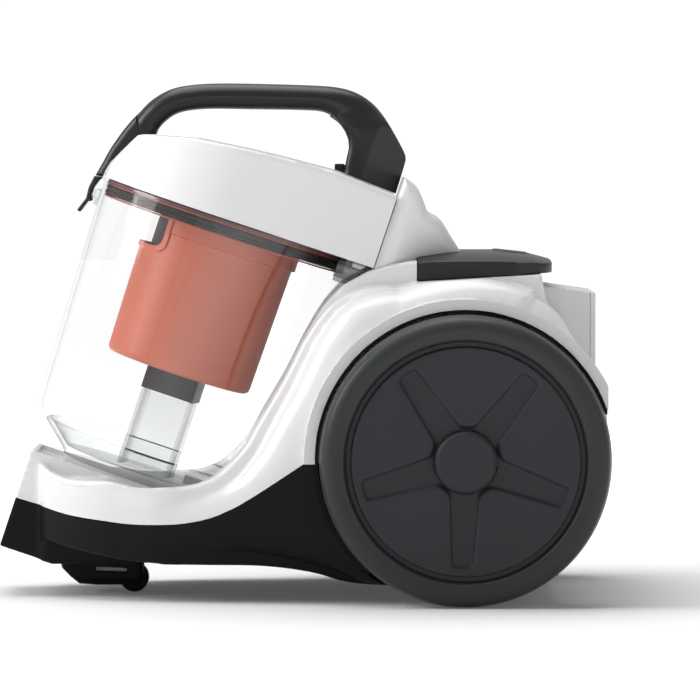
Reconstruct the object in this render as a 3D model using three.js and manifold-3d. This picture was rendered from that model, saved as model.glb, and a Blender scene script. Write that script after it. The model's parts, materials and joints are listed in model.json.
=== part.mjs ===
// Bagless canister vacuum cleaner, in millimetres. +Z is up, +X points to the rear, the nose with the
// hose socket faces -X, and the mirror plane is y = 0. The origin is on the floor, in the middle of the
// object's box. "Near" pieces are on the -Y side and "far" pieces on the +Y side.
//
// The dust cup, its lid, the seat and the nose share a frame that leans back: u runs rearwards and down,
// h runs up along the cup's axis, and h = 0 is the cup's rim.
import * as THREE from "three";
import { mergeVertices } from "three/addons/utils/BufferGeometryUtils.js";
import Module from "manifold-3d";

const wasm = await Module();
wasm.setup();

// ---- Driving dimensions ----
const GAP = 0.35; // between touching pieces
const WALL = 3; // thickness of the housing mouldings
const SNAP = 0.002; // grid of the finished corners
const ROUND = 36; // sides of a large round piece
const SMALL_ROUND = 12; // sides of a small round piece
const TILT = THREE.MathUtils.degToRad(18.4);
const RIM = new THREE.Vector3(-44.4, 0, 226.8); // centre of the dust cup's rim

const CUP_R_TOP = 79.4;
const CUP_R_LOW = 75.3;
const CUP_LOW = -144; // height where the cup's wall turns in towards its door
const CUP_EDGE = -149.2;
const CUP_FOOT_R = 51;
const CUP_WALL = 2.6;
const DOOR_UNDER = -167;

const LID_R = 80.2;
const SEAM_U = 92.2; // the plane where the lid meets the tower
const SEAM_Y = 74;
const SEAT_R = 82;
const SEAT_FLOOR = -167.8;
const INLET_H = -46; // height of the air inlet in the cup's rear wall
const INLET_R = 13;
const OUTLET = { low: 14, high: 34, half: 28 }; // the air outlet in the lid's rear wall

const CYCLONE_R = 46;
const CYCLONE_LOW = -98.5;
const COLUMN_R = 22.3; // half the diagonal of the square column under the cyclone
const COLUMN_TURN = THREE.MathUtils.degToRad(37);

const WHEEL_X = 96.7;
const WHEEL_R = 85.8;
const WHEEL_IN = 92;
const WHEEL_OUT = 130;
const DISC_R = 67.2;
const HUB_R = 18.1;
const HUB_OUT = 132;
const SPOKES = 5;
const SPOKE_PHASE = 52; // degrees
const AXLE_R = 4;
const WELL_R = 88.6;
const WELL_IN = 88;
const ARCH_R = 94.8;
const ARCH_OUT = 108;

const CORE_Y = 75; // half width of the raised middle of the body
const BODY_Y = 105;
const SPLIT_Z = 82.9; // height of the joint between the white and black mouldings behind the wheels
const REAR_WALL = 158;
const FENDER_IN = 82;
const NOSE_U = -68;
const NOSE_Y = 38;
const SOCKET_H = -199.5;
const SOCKET_R = 18.5;

const CASTER_X = -127; // the caster's swivel axis
const ROLLER_X = -101.8;
const ROLLER_R = 8.7;
const CASTER_POCKET_R = 36;
const CASTER_CEILING = 30;

const MOTOR = { x: 92, y: -34, z: 66, r: 42, length: 62 };
const REEL = { x: 96, z: 84, r: 54, y0: 24, y1: 64 };
const PANEL_Y = 75; // half width of the control panel, flush with the body's raised middle
const BOX_Y = 55; // half width of the exhaust box
const BUTTONS = { x0: 115, x1: 137, inner: 5, outer: 28 };
const BUTTON_TRAVEL = 3;
const TRIGGER = { x0: 30, x1: 36, y: 8, z0: 268, z1: 282 }; // the release trigger inside the grip's rear corner
const BOX_REAR = 172; // rear face of the exhaust box
const DUCT = { wide: 15, high: 9.6 }; // half sizes of the flattened duct under and behind the cup
const MOTOR_DUCT = { x: 76, y: 34, r: 13 };
const CORD_EXIT = { y: 24, z: 112 };
const BRACKET_Y = 60; // half width of the cup's hinge bracket
const SCREWS = [[60, -70], [60, 70], [124, -70], [124, 70]];

// ---- Solid helpers ----
const identity = new THREE.Matrix4();
const cupMatrix = new THREE.Matrix4().makeRotationY(TILT).setPosition(RIM);
const move = (x, y, z) => new THREE.Matrix4().makeTranslation(x, y, z);
const inCup = (u, y, h) => cupMatrix.clone().multiply(move(u, y, h));

// Triangles as a manifold-3d solid, turned so that its faces point outwards.
function fromFaces(position, faces) {
  const [a, b, c] = [new THREE.Vector3(), new THREE.Vector3(), new THREE.Vector3()];
  let volume = 0;
  for (const [p, q, r] of faces) {
    b.fromBufferAttribute(position, q).cross(c.fromBufferAttribute(position, r));
    volume += a.fromBufferAttribute(position, p).dot(b);
  }
  const triVerts = new Uint32Array(faces.flatMap(([p, q, r]) => (volume < 0 ? [p, r, q] : [p, q, r])));
  return new wasm.Manifold(new wasm.Mesh({ numProp: 3, vertProperties: position.array, triVerts }));
}

function solid(geometry, matrix = identity) {
  const bare = geometry.clone().applyMatrix4(matrix);
  for (const name of Object.keys(bare.attributes)) if (name !== "position") bare.deleteAttribute(name);
  const merged = mergeVertices(bare, 1e-4);
  const faces = [];
  for (let i = 0; i < merged.index.count; i += 3) {
    const [p, q, r] = [0, 1, 2].map((k) => merged.index.getX(i + k));
    if (p !== q && q !== r && r !== p) faces.push([p, q, r]);
  }
  return fromFaces(merged.attributes.position, faces);
}

// A skin through layers of [x, z] outlines with the same number of points, each at its own y.
function loft(layers, matrix = identity) {
  const n = layers[0].points.length;
  const corners = layers.flatMap(({ y, points }) => points.map(([x, z]) => new THREE.Vector3(x, y, z)));
  const position = new THREE.BufferAttribute(new Float32Array(corners.length * 3), 3);
  corners.forEach((corner, i) => position.setXYZ(i, ...corner.applyMatrix4(matrix)));
  const faces = [];
  for (let layer = 0; layer + 1 < layers.length; layer += 1) {
    for (let i = 0; i < n; i += 1) {
      const [p, q] = [layer * n + i, layer * n + ((i + 1) % n)];
      faces.push([p, q, q + n], [p, q + n, p + n]);
    }
  }
  const widest = vectors(layers[Math.floor(layers.length / 2)].points);
  for (const [i, j, k] of THREE.ShapeUtils.triangulateShape(widest, [])) {
    const last = (layers.length - 1) * n;
    const turns = THREE.ShapeUtils.area([widest[i], widest[j], widest[k]]) * THREE.ShapeUtils.area(widest) > 0;
    const [a, b, c] = turns ? [i, j, k] : [i, k, j];
    faces.push([a, c, b], [a + last, b + last, c + last]);
  }
  return fromFaces(position, faces);
}

// A solid as a three.js geometry with flat faces. Corners closer than a fine grid become one, and the slivers
// between them go.
function geometryOf(made) {
  const { triVerts, vertProperties } = made.getMesh();
  const snapped = Float32Array.from(vertProperties, (value) => Math.round(value / SNAP) * SNAP);
  const seen = new Map();
  const corner = (v) => {
    const key = snapped.subarray(v * 3, v * 3 + 3).join();
    if (!seen.has(key)) seen.set(key, seen.size);
    return seen.get(key);
  };
  const faces = new Map();
  for (let i = 0; i < triVerts.length; i += 3) {
    const face = [...triVerts.subarray(i, i + 3)];
    const ids = face.map(corner);
    if (new Set(ids).size < 3) continue;
    const key = ids.sort((a, b) => a - b).join();
    if (!faces.delete(key)) faces.set(key, face);
  }
  const at = [...faces.values()].flat().flatMap((v) => [...snapped.subarray(v * 3, v * 3 + 3)]);
  const geometry = new THREE.BufferGeometry();
  geometry.setAttribute("position", new THREE.Float32BufferAttribute(at, 3));
  geometry.computeVertexNormals();
  return geometry;
}

const vectors = (points) => points.map(([x, y]) => new THREE.Vector2(x, y));
const flip = (points) => [...points].reverse().map(([x, y]) => [x, -y]);

// Points of a smooth line through a few given ones.
function smooth(points, divisions) {
  return new THREE.SplineCurve(vectors(points)).getPoints(divisions).map((p) => [p.x, p.y]);
}

// Points of an arc, with its angles in degrees.
function arc(cx, cz, radius, from, to, steps) {
  return Array.from({ length: steps + 1 }, (_, i) => {
    const angle = THREE.MathUtils.degToRad(from + ((to - from) * i) / steps);
    return [cx + radius * Math.cos(angle), cz + radius * Math.sin(angle)];
  });
}

// An outline moved inwards; it runs clockwise with its first value to the right and its second up.
function inset(points, by) {
  const n = points.length;
  return points.map(([x, z], i) => {
    const before = points[(i + n - 1) % n];
    const after = points[(i + 1) % n];
    const [dx, dz] = [after[0] - before[0], after[1] - before[1]];
    const long = Math.hypot(dx, dz);
    return [x + (dz / long) * by, z - (dx / long) * by];
  });
}

function extruded(points, depth) {
  return new THREE.ExtrudeGeometry(new THREE.Shape(vectors(points)), { depth, bevelEnabled: false });
}

// A side outline in x and z, given depth from y0 to y1.
function prism(points, y0, y1, matrix = identity) {
  return solid(extruded(points, y1 - y0).rotateX(Math.PI / 2).translate(0, y1, 0), matrix);
}

// A plan outline in x and y, given height from z0 to z1.
function slab(points, z0, z1, matrix = identity) {
  return solid(extruded(points, z1 - z0).translate(0, 0, z0), matrix);
}

// A clockwise side outline with its long edges rounded.
function roundedPrism(points, halfWidth, radius, steps = 3, matrix = identity) {
  const layers = [];
  for (const side of [-1, 1]) {
    for (let i = 0; i <= steps; i += 1) {
      const angle = (Math.PI / 2) * ((side < 0 ? steps - i : i) / steps);
      const y = side * (halfWidth - radius + radius * Math.sin(angle));
      layers.push({ y, points: inset(points, radius * (1 - Math.cos(angle))) });
    }
  }
  return loft(layers, matrix);
}

function box(x0, x1, y0, y1, z0, z1, matrix = identity) {
  const geometry = new THREE.BoxGeometry(x1 - x0, y1 - y0, z1 - z0);
  return solid(geometry.translate((x0 + x1) / 2, (y0 + y1) / 2, (z0 + z1) / 2), matrix);
}

// A profile of [radius, height] points turned about "z", "y" or "x".
function turned(profile, sides = ROUND, axis = "z", matrix = identity) {
  const geometry = new THREE.LatheGeometry(vectors([...profile, profile[0]]), sides);
  if (axis === "z") geometry.rotateX(Math.PI / 2);
  if (axis === "x") geometry.rotateZ(-Math.PI / 2);
  return solid(geometry, matrix);
}

const cylinder = (radius, h0, h1, sides = ROUND, axis = "z", matrix = identity) =>
  turned([[0, h0], [radius, h0], [radius, h1], [0, h1]], sides, axis, matrix);
const ring = (r0, r1, h0, h1, sides = ROUND, axis = "z", matrix = identity) =>
  turned([[r0, h0], [r1, h0], [r1, h1], [r0, h1]], sides, axis, matrix);
const union = (pieces) => pieces.reduce((whole, piece) => whole.add(piece));

// ---- Materials ----
const finish = (color, roughness, metalness = 0, extra = {}) =>
  new THREE.MeshStandardMaterial({ color, roughness, metalness, ...extra });
const WHITE = finish(0xf2f2f1, 0.25);
const BLACK = finish(0x222225, 0.45);
const GRAPHITE = finish(0x39393c, 0.35);
const RUBBER = finish(0x2e3033, 0.8);
const ORANGE = finish(0xd8694f, 0.4);
const CLEAR = finish(0xf4f6f6, 0.05, 0, { transparent: true, opacity: 0.3 });
const STEEL = finish(0x9a9c9f, 0.3, 1);
const FOAM = finish(0x55585c, 0.95);
const PAPER = finish(0xe4e2da, 0.9);
const GREY = finish(0xc6c6c6, 0.4);
const BOARD = finish(0x2f6b3f, 0.6);

const vacuum = new THREE.Group();
function add(name, made, material) {
  const mesh = new THREE.Mesh(geometryOf(made), material);
  mesh.name = name;
  vacuum.add(mesh);
}

// ---- Housing ----
const CHEEK_EDGE = [[-161, 83], [-149, 74.6], [-136.6, 71], [-116, 70.4], [-95.4, 68.9], [-83, 68.3], [-67, 69.6],
  [-58, 72], [-48.5, 77], [-34, 91.6], [-24.4, 107.9], [-9.8, 132.7], [1.2, 154.5], [13.1, 175.2]];
const CHEEK_TOP = [[27, 184], [46.7, 184.6], ...arc(WHEEL_X, WHEEL_R, 107, 104, 66, 5), [153, 170], [168, 147],
  [173, 139.5], [179.4, 119], [176, 100]];
const CORE_TOP = [[28, 189.6], [43, 197], [69, 202.6], [104, 201], [142.6, 194.1], [146.8, 176.4], [156, 150],
  [158, 100]];
const UNDERSIDE = [[44, 8], [25.2, 12.1], [6.3, 17.8], [-21.9, 21.4], [-90, 22.4]];
const SPLIT = [[-176, 59.4], [-161.1, 56], [-142.5, 51], [-116.2, 47.4], [-101.1, 45.9], [-83.2, 45.9],
  [-69.1, 47], [-55, 50], [-45.2, 53.8], [-31.2, 61.2], [1.7, SPLIT_Z]];
const PLAN = [[-190, 0], [-184, 30], [-160, 46], [-130, 66], [-100, 80], [-60, 92], [-20, 99], [20, BODY_Y]];
const TOWER = [[34, 186], [61.3, 251.5], [68.5, 246.3], [75.1, 231.5], [82.3, 227.1], [88.9, 216.7], [95, 207.5],
  [98, 186]];

function bodyOutline(top, rear) {
  return [...smooth(CHEEK_EDGE, 20), ...top, ...rear, ...UNDERSIDE, [-148.8, 20.4], [-182.5, 31.2]];
}
const cheekOutline = bodyOutline(CHEEK_TOP, [[176, 60], [150, 16], [130, 8]]);
const coreOutline = bodyOutline(CORE_TOP, [[158, 40], [148, 14], [130, 8]]);

function planBlock(shrink) {
  const side = smooth(PLAN, 12).map(([x, y], i) => (i === 0 ? [x + shrink, 0] : [x + shrink, y - shrink]));
  return slab([...side, [220, BODY_Y - shrink], [220, shrink - BODY_Y], ...flip(side.slice(1))], -20, 300);
}

// A cylinder on the wheels' axis, between two distances from the mirror plane, on both sides.
function onAxle(y0, y1, radius, sides = ROUND) {
  const at = move(WHEEL_X, 0, WHEEL_R);
  return cylinder(radius, y0, y1, sides, "y", at).add(cylinder(radius, -y1, -y0, sides, "y", at));
}

// The seat that the cup slides into, with a clearance or a wall added all round.
function seatSpace(extra) {
  const foot = [CUP_FOOT_R + 6 + extra, SEAT_FLOOR - extra];
  const profile = [[0, foot[1]], foot, [SEAT_R + extra, CUP_EDGE - extra], [SEAT_R + extra, 90], [0, 90]];
  return turned(profile, ROUND, "z", cupMatrix);
}

// The lid's outline in plan, grown all round.
function lidPlan(extra) {
  const front = arc(0, 0, LID_R + extra, 90, 270, 18);
  return [...front, [SEAM_U + extra, -SEAM_Y - extra], [SEAM_U + extra, SEAM_Y + extra]];
}

function housingBlock() {
  const arches = onAxle(70, ARCH_OUT, ARCH_R)
    .subtract(box(-200, 220, -200, 200, -20, SPLIT_Z))
    .subtract(box(150, 220, -200, 200, -20, 112))
    .subtract(box(180.6, 220, -200, 200, -20, 200));
  const nose = prism([[NOSE_U, SEAT_FLOOR - GAP], [0, SEAT_FLOOR - GAP], [0, -225], [NOSE_U, -229.5]], -NOSE_Y,
    NOSE_Y, cupMatrix);
  return roundedPrism(cheekOutline, BODY_Y, 6, 2)
    .add(roundedPrism(coreOutline, CORE_Y, 5, 2))
    .intersect(planBlock(0))
    .add(arches)
    .add(nose)
    .subtract(seatSpace(0))
    .subtract(slab(lidPlan(0.6), -0.6, 90, cupMatrix))
    .subtract(box(78, 92.8, -BRACKET_Y - 1, BRACKET_Y + 1, -15.5, 90, cupMatrix))
    .subtract(box(REAR_WALL, 220, -FENDER_IN, FENDER_IN, -20, 300))
    .subtract(onAxle(WELL_IN, 150, WELL_R))
    .subtract(cylinder(CASTER_POCKET_R, -5, CASTER_CEILING, ROUND, "z", move(CASTER_X, 0, 0)));
}

function housingHollow() {
  return prism(inset(cheekOutline, WALL + 0.8), -BODY_Y, BODY_Y)
    .add(prism(inset(coreOutline, WALL + 0.8), -CORE_Y + WALL, CORE_Y - WALL))
    .intersect(planBlock(WALL + 0.6))
    .subtract(seatSpace(WALL))
    .subtract(slab(lidPlan(WALL), -WALL, 90, cupMatrix))
    .subtract(box(70, 92.8 + WALL, -BRACKET_Y - WALL, BRACKET_Y + WALL, -15.5 - WALL, 90, cupMatrix))
    .subtract(onAxle(WELL_IN - WALL, 150, WELL_R + WALL))
    .subtract(cylinder(CASTER_POCKET_R + WALL, -5, CASTER_CEILING + WALL, ROUND, "z", move(CASTER_X, 0, 0)))
    .subtract(box(REAR_WALL - WALL, 220, -FENDER_IN - WALL, FENDER_IN + WALL, -20, 300));
}

// Holes through the housing for the pieces that are set in it.
function housingHoles() {
  return union([
    cylinder(SOCKET_R + 4.4, NOSE_U - 12, -40, 24, "x", inCup(0, 0, SOCKET_H)),
    cylinder(INLET_R + 4.6, 76, 100, 24, "x", inCup(0, 0, INLET_H)),
    box(52, 86, -MOTOR_DUCT.y - 14, 30, 184, 215),
    box(140, 170, -BOX_Y + 6, BOX_Y - 6, 143, 178),
    cylinder(11.4, 20, 60, 24, "z", move(CASTER_X, 0, 0)),
    onAxle(70, 120, 8.4, 24),
    cylinder(6.4, 140, 170, SMALL_ROUND, "x", move(0, CORD_EXIT.y, CORD_EXIT.z)),
    ...SCREWS.map(([x, y]) => cylinder(3.4, 0, 14, SMALL_ROUND, "z", move(x, y, 0))),
  ]);
}

// The seat's own moulding belongs to the white shell, even where it dips below the line between the two.
function addHousing() {
  const line = smooth(SPLIT, 14);
  const front = SPLIT[0][1];
  const over = prism([[-220, front], ...line, [220, SPLIT_Z], [220, 330], [-220, 330]], -150, 150);
  const under = prism([[-220, -10], [-220, front - GAP], ...line.map(([x, z]) => [x, z - GAP]),
    [220, SPLIT_Z - GAP], [220, -10]], -150, 150);
  const housing = housingBlock().subtract(housingHollow()).subtract(housingHoles()).subtract(panelBlock(GAP))
    .subtract(box(70, 140, -PANEL_Y, PANEL_Y, 200, 215))
    .subtract(exhaustBlock(GAP));
  add("upper_shell", housing.intersect(over.add(seatSpace(WALL + 0.6))), WHITE);
  add("base_shell", housing.intersect(under).subtract(seatSpace(WALL + 0.6 + GAP)), BLACK);
}

// The raised moulding behind the lid, which carries the air from the lid's outlet down to the motor.
function addTower() {
  const plan = (by) => slab([[20, 76 - by], [43, 75 - by], [98 - by, 52 - by], ...flip([[20, 76 - by],
    [43, 75 - by], [98 - by, 52 - by]])], 150, 300);
  const shellTop = [[20, 150], ...CORE_TOP.slice(0, 4).map(([x, z]) => [x, z + GAP]), [110, 150]];
  const made = roundedPrism(TOWER, 76, 5, 2).intersect(plan(0))
    .subtract(prism(inset(TOWER, WALL), -73, 73).intersect(plan(WALL))
      .subtract(slab(lidPlan(WALL + 0.5), -60, 90, cupMatrix)))
    .subtract(slab(lidPlan(0.5), -60, 90, cupMatrix))
    .subtract(box(SEAM_U - 2, SEAM_U + 8, -OUTLET.half, OUTLET.half, OUTLET.low, OUTLET.high, cupMatrix))
    .subtract(prism(shellTop, -90, 90))
    .subtract(panelBlock(GAP));
  add("tower_cover", made, WHITE);
}

// ---- Control panel and exhaust ----
const PANEL = [[68.9, 204.6], [79, 200.6], [88.1, 206.5], [117.4, 207.6], [136.7, 204.4], [146.8, 202.1],
  [149.7, 194.3], [147.6, 191.6], [71, 190]];

function panelBlock(extra) {
  return roundedPrism(inset(PANEL, -extra), PANEL_Y + extra, 2, 2);
}

function exhaustBlock(extra) {
  return prism([[147 - extra, 186.6 + extra], [BOX_REAR, 183 + extra], [BOX_REAR, 137.9 - extra],
    [141 - extra, 137.9 - extra], [141 - extra, 180]], -BOX_Y - extra, BOX_Y + extra);
}

function addPanel() {
  const { x0, x1, inner, outer } = BUTTONS;
  let panel = panelBlock(0);
  for (const [name, y0, y1] of [["power_button", -outer, -inner], ["rewind_button", inner, outer]]) {
    panel = panel.subtract(box(x0, x1, y0, y1, 180, 215));
    const cap = prism([[x0 + GAP, 199], [x0 + GAP, 208.2], [x1 - GAP, 205], [x1 - GAP, 199]], y0 + GAP, y1 - GAP);
    const stem = box((x0 + x1) / 2 - 3, (x0 + x1) / 2 + 3, (y0 + y1) / 2 - 3, (y0 + y1) / 2 + 3, 180, 200);
    add(name, cap.add(stem), GRAPHITE);
  }
  add("control_panel", panel, GRAPHITE);
  add("circuit_board", box(96, 139, -40, 40, 172, 174), BOARD);
}

function addExhaust() {
  const passage = box(130, BOX_REAR + 5, -BOX_Y + 5, BOX_Y - 5, 143, 178.5);
  add("exhaust_box", exhaustBlock(0).subtract(passage), GREY);
  add("exhaust_filter", box(150, 168, -BOX_Y + 5 + GAP, BOX_Y - 5 - GAP, 143 + GAP, 178.5 - GAP), PAPER);
  let grille = box(BOX_REAR + GAP, 175.6, -BOX_Y + 1, BOX_Y - 1, 131, 182.6);
  for (let z = 147; z < 177; z += 6) grille = grille.subtract(box(160, 180, -44, 44, z, z + 3));
  add("exhaust_grille", grille, GREY);
}

// ---- Running gear ----
function spokeRecess(index) {
  const outline = [[20, -8.6], [20, 8.6], ...arc(56.5, 0, 5.2, 80, -80, 4)];
  const turn = THREE.MathUtils.degToRad(SPOKE_PHASE + (index * 360) / SPOKES);
  const turned = outline.map(([r, w]) => [
    WHEEL_X + r * Math.cos(turn) - w * Math.sin(turn),
    WHEEL_R + r * Math.sin(turn) + w * Math.cos(turn),
  ]);
  return (y0, y1) => prism(turned, y0, y1);
}

function addWheel(side, sign) {
  const at = move(WHEEL_X, 0, WHEEL_R);
  const make = (profile, sides = ROUND) => turned(profile.map(([r, y]) => [r, sign * y]), sides, "y", at);
  const face = WHEEL_OUT - 3;
  add(`tyre_${side}`, make([[DISC_R + GAP, 94], [71, 94], [71, 123], [82, 121], [82, 93], [83.5, WHEEL_IN],
    [WHEEL_R, 96], [WHEEL_R, 120], [84, 126], [79, 129.6], [73.5, WHEEL_OUT], [71.6, face],
    [DISC_R + GAP, face]]), RUBBER);
  let disc = make([[AXLE_R + 0.1, 94], [13, 94], [15, 120.6], [63, 120.6], [63, 112], [DISC_R, 112], [DISC_R, face],
    [HUB_R + GAP, face], [HUB_R + GAP, 122.4], [AXLE_R + 0.1, 122.4]]);
  for (let index = 0; index < SPOKES; index += 1) {
    const [y0, y1] = [face - 3, face + 3].map((y) => sign * y).sort((a, b) => a - b);
    disc = disc.subtract(spokeRecess(index)(y0, y1));
  }
  add(`wheel_disc_${side}`, disc, GRAPHITE);
  const cap = make([[0, 122.7], [HUB_R, 122.7], [HUB_R, 130.6], [15.6, HUB_OUT], [0, HUB_OUT]], 32);
  add(`hub_cap_${side}`, cap, BLACK);
  add(`axle_${side}`, make([[0, 80], [8, 80], [8, 91], [AXLE_R, 91], [AXLE_R, 120], [0, 120]], 24), STEEL);
}

function addCaster() {
  const at = move(CASTER_X, 0, 0);
  const profile = [[-146, 15.2], [-146, 24], [-138, 27], [-108, 27], [-97, 20], [-95, 12], [-99, 5.4], [-108.4, 4.2],
    [-124.5, 4.2], [-135.8, 5.5], [-140.2, 9.3]];
  const fork = roundedPrism(profile, 12.5, 2, 2)
    .add(cylinder(19, 24, 28.4, 32, "z", at))
    .add(cylinder(5, 24, 36, 24, "z", at))
    .subtract(box(ROLLER_X - ROLLER_R - 1.2, -80, -8.2, 8.2, -5, 25))
    .subtract(cylinder(2.1, -20, 20, 24, "y", move(ROLLER_X, 0, ROLLER_R)));
  add("caster_fork", fork, BLACK);
  add("caster_axle", cylinder(2, -12, 12, 24, "y", move(ROLLER_X, 0, ROLLER_R)), STEEL);
  add("caster_roller", ring(2.1, ROLLER_R, -7.7, 7.7, 32, "y", move(ROLLER_X, 0, ROLLER_R)), BLACK);
  add("caster_socket", turned([[5.08, CASTER_CEILING + 0.4], [11, CASTER_CEILING + 0.4], [11, 36], [7.5, 37],
    [5.08, 37]], 24, "z", at), BLACK);
}

// ---- Air path, motor and cord reel ----
function addIntake() {
  const socket = inCup(0, 0, SOCKET_H);
  add("hose_socket", turned([[SOCKET_R, NOSE_U - 0.4], [SOCKET_R + 4, NOSE_U - 0.4], [SOCKET_R + 4, -41],
    [INLET_R - 1, -41], [INLET_R - 1, -43.5], [SOCKET_R, -43.5]], 24, "x", socket), BLACK);
  const cupPoint = (u, h) => new THREE.Vector3(u, 0, h).applyMatrix4(cupMatrix);
  const path = new THREE.CatmullRomCurve3([cupPoint(-40.4, SOCKET_H), cupPoint(-36, SOCKET_H),
    new THREE.Vector3(-127, 0, 51), new THREE.Vector3(-94, 0, 45.5), new THREE.Vector3(-60, 0, 37.6),
    new THREE.Vector3(-42, 0, 36), new THREE.Vector3(-20, 0, 38), cupPoint(98, -148), cupPoint(103, -112),
    cupPoint(104, -70), cupPoint(99, -52), cupPoint(90, INLET_H), cupPoint(87.6, INLET_H)]);
  const section = new THREE.Shape();
  section.absellipse(0, 0, DUCT.wide, DUCT.high, 0, 2 * Math.PI);
  section.holes.push(new THREE.Path().absellipse(0, 0, DUCT.wide - 1.8, DUCT.high - 1.8, 0, 2 * Math.PI));
  const tube = new THREE.ExtrudeGeometry(section, { extrudePath: path, steps: 22, curveSegments: 5 });
  add("intake_duct", solid(tube), BLACK);
  add("inlet_seal", ring(INLET_R, INLET_R + 4.2, 82.6, 87.2, 24, "x", inCup(0, 0, INLET_H)), RUBBER);
}

function addMotor() {
  const { x, y, z, r, length } = MOTOR;
  const at = move(x, y, z);
  const half = length / 2;
  const can = turned([[16, -half], [r, -half], [r, half], [9, half], [9, half - 3], [r - 3, half - 3],
    [r - 3, 3 - half], [16, 3 - half]], 32, "x", at)
    .subtract(cylinder(MOTOR_DUCT.r - 2, z, z + 60, 24, "z", move(MOTOR_DUCT.x, y, 0)));
  add("motor_can", can, STEEL);
  add("motor_rotor", turned([[0, 5 - half], [12, 5 - half], [r - 7, 8 - half], [r - 7, 14 - half], [4, 14 - half],
    [4, 22 - half], [18, 22 - half], [18, half - 14], [4, half - 14], [4, half - 1], [0, half - 1]], 32, "x", at),
    STEEL);
  for (const [name, x0] of [["motor_mount_front", x - half - 6], ["motor_mount_rear", x + half + GAP]]) {
    const foot = box(x0, x0 + 5.6, y - 12, y + 12, 12, 34);
    add(name, ring(20, 36, x0, x0 + 5.6, 32, "x", move(0, y, z)).add(foot), RUBBER);
  }
  const duct = ring(MOTOR_DUCT.r - 2, MOTOR_DUCT.r, z + r + 1, 188, 24, "z", move(MOTOR_DUCT.x, y, 0));
  add("motor_duct", duct, BLACK);
}

function addReel() {
  const { x, z, r, y0, y1 } = REEL;
  const at = move(x, 0, z);
  add("cord_drum", turned([[5.08, y0], [r, y0], [r, y0 + 2], [24, y0 + 2], [24, y1 - 2], [r, y1 - 2], [r, y1],
    [5.08, y1]], 32, "y", at), BLACK);
  add("reel_bracket", box(x - 18, x + 18, y1 + 2, y1 + 5, 12, z + 18)
    .add(cylinder(5, y0 - 3, y1 + 3, 24, "y", at)), GREY);
  add("rewind_spring_case", cylinder(28, y1 + 5.4, y1 + 14, 32, "y", at), BLACK);
  add("cord_bush", turned([[3.6, 151], [6, 151], [6, 158.4], [8.4, 158.4], [8.4, 160.6], [3.6, 160.6]], SMALL_ROUND,
    "x", move(0, CORD_EXIT.y, CORD_EXIT.z)), BLACK);
  SCREWS.forEach(([sx, sy], i) => {
    const profile = [[0, 9], [3, 9], [3, 12.4], [1.6, 12.4], [1.6, 30], [0, 30]];
    add(`base_screw_${i + 1}`, turned(profile, SMALL_ROUND, "z", move(sx, sy, 0)), STEEL);
  });
}

// ---- Dust cup, in the leaning frame ----
const squareTube = (outer, inner, h0, h1) => ring(outer, inner, h0, h1, 4, "z",
  cupMatrix.clone().multiply(new THREE.Matrix4().makeRotationZ(COLUMN_TURN)));
const inCupTurned = (profile, sides = ROUND) => turned(profile, sides, "z", cupMatrix);

function addCup() {
  const inletHole = cylinder(INLET_R, 60, 100, 24, "x", inCup(0, 0, INLET_H));
  const wall = inCupTurned([[CUP_R_TOP - CUP_WALL, -GAP], [CUP_R_TOP, -GAP], [CUP_R_LOW, CUP_LOW], [73.3, -147],
    [67.8, CUP_EDGE], [66.6, -146.8], [71.4, -145], [CUP_R_LOW - CUP_WALL, -143]]).subtract(inletHole);
  const hook = box(-81.6, -78, -8, 8, -14, -9, cupMatrix);
  const hinge = box(78.8, 91.8, -BRACKET_Y, BRACKET_Y, -14.5, -1, cupMatrix)
    .subtract(box(78, 88, -BRACKET_Y + 3, BRACKET_Y - 3, -11, 2, cupMatrix));
  const inside = inCupTurned([[0, -200], [78, -200], [78, 10], [0, 10]]);
  add("cup_shell", wall.add(hook.add(hinge).subtract(inside)), CLEAR);
  add("cup_door", inCupTurned([[0, DOOR_UNDER], [50.5, DOOR_UNDER], [67.4, CUP_EDGE - 0.5], [65, -147.3],
    [49.6, -161.6], [0, -161.6]]), CLEAR);
  add("door_latch", box(24, 40, -6, 6, -161.3, -156.6, cupMatrix), GREY);
  add("rim_seal", inCupTurned([[70, -9.4], [76.2, -9.4], [76.2, -3.4], [70, -3.4]]), RUBBER);
  add("cyclone_flange", inCupTurned([[30, -9.4], [69.6, -9.4], [69.6, -5.4], [30, -5.4]]), BLACK);
  const notch = box(-60, -30, -34, 34, -31, 0, cupMatrix);
  const shroud = inCupTurned([[COLUMN_R - 7, CYCLONE_LOW], [CYCLONE_R - 4, CYCLONE_LOW], [CYCLONE_R - 1, -95],
    [CYCLONE_R, -19], [48.5, -18], [48.5, -10], [CYCLONE_R - 2.5, -10], [CYCLONE_R - 3.4, -96], [COLUMN_R - 7, -96]]);
  add("cyclone_shroud", shroud.subtract(notch), ORANGE);
  add("cyclone_core", inCupTurned([[37.5, -88], [40, -88], [40, -9.8], [37.5, -9.8]]), BLACK);
  add("vortex_finder", inCupTurned([[14, -62], [16.5, -62], [16.5, -2], [28, -2], [28, -5.4], [29.6, -5.4],
    [29.6, -0.6], [14, -0.6]], 32), BLACK);
  add("cyclone_collar", squareTube(19.6, 23.4, -113.4, CYCLONE_LOW - GAP), GRAPHITE);
  add("fine_dust_tube", squareTube(19.6, COLUMN_R, -161.2, -113.8), CLEAR);
}

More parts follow.
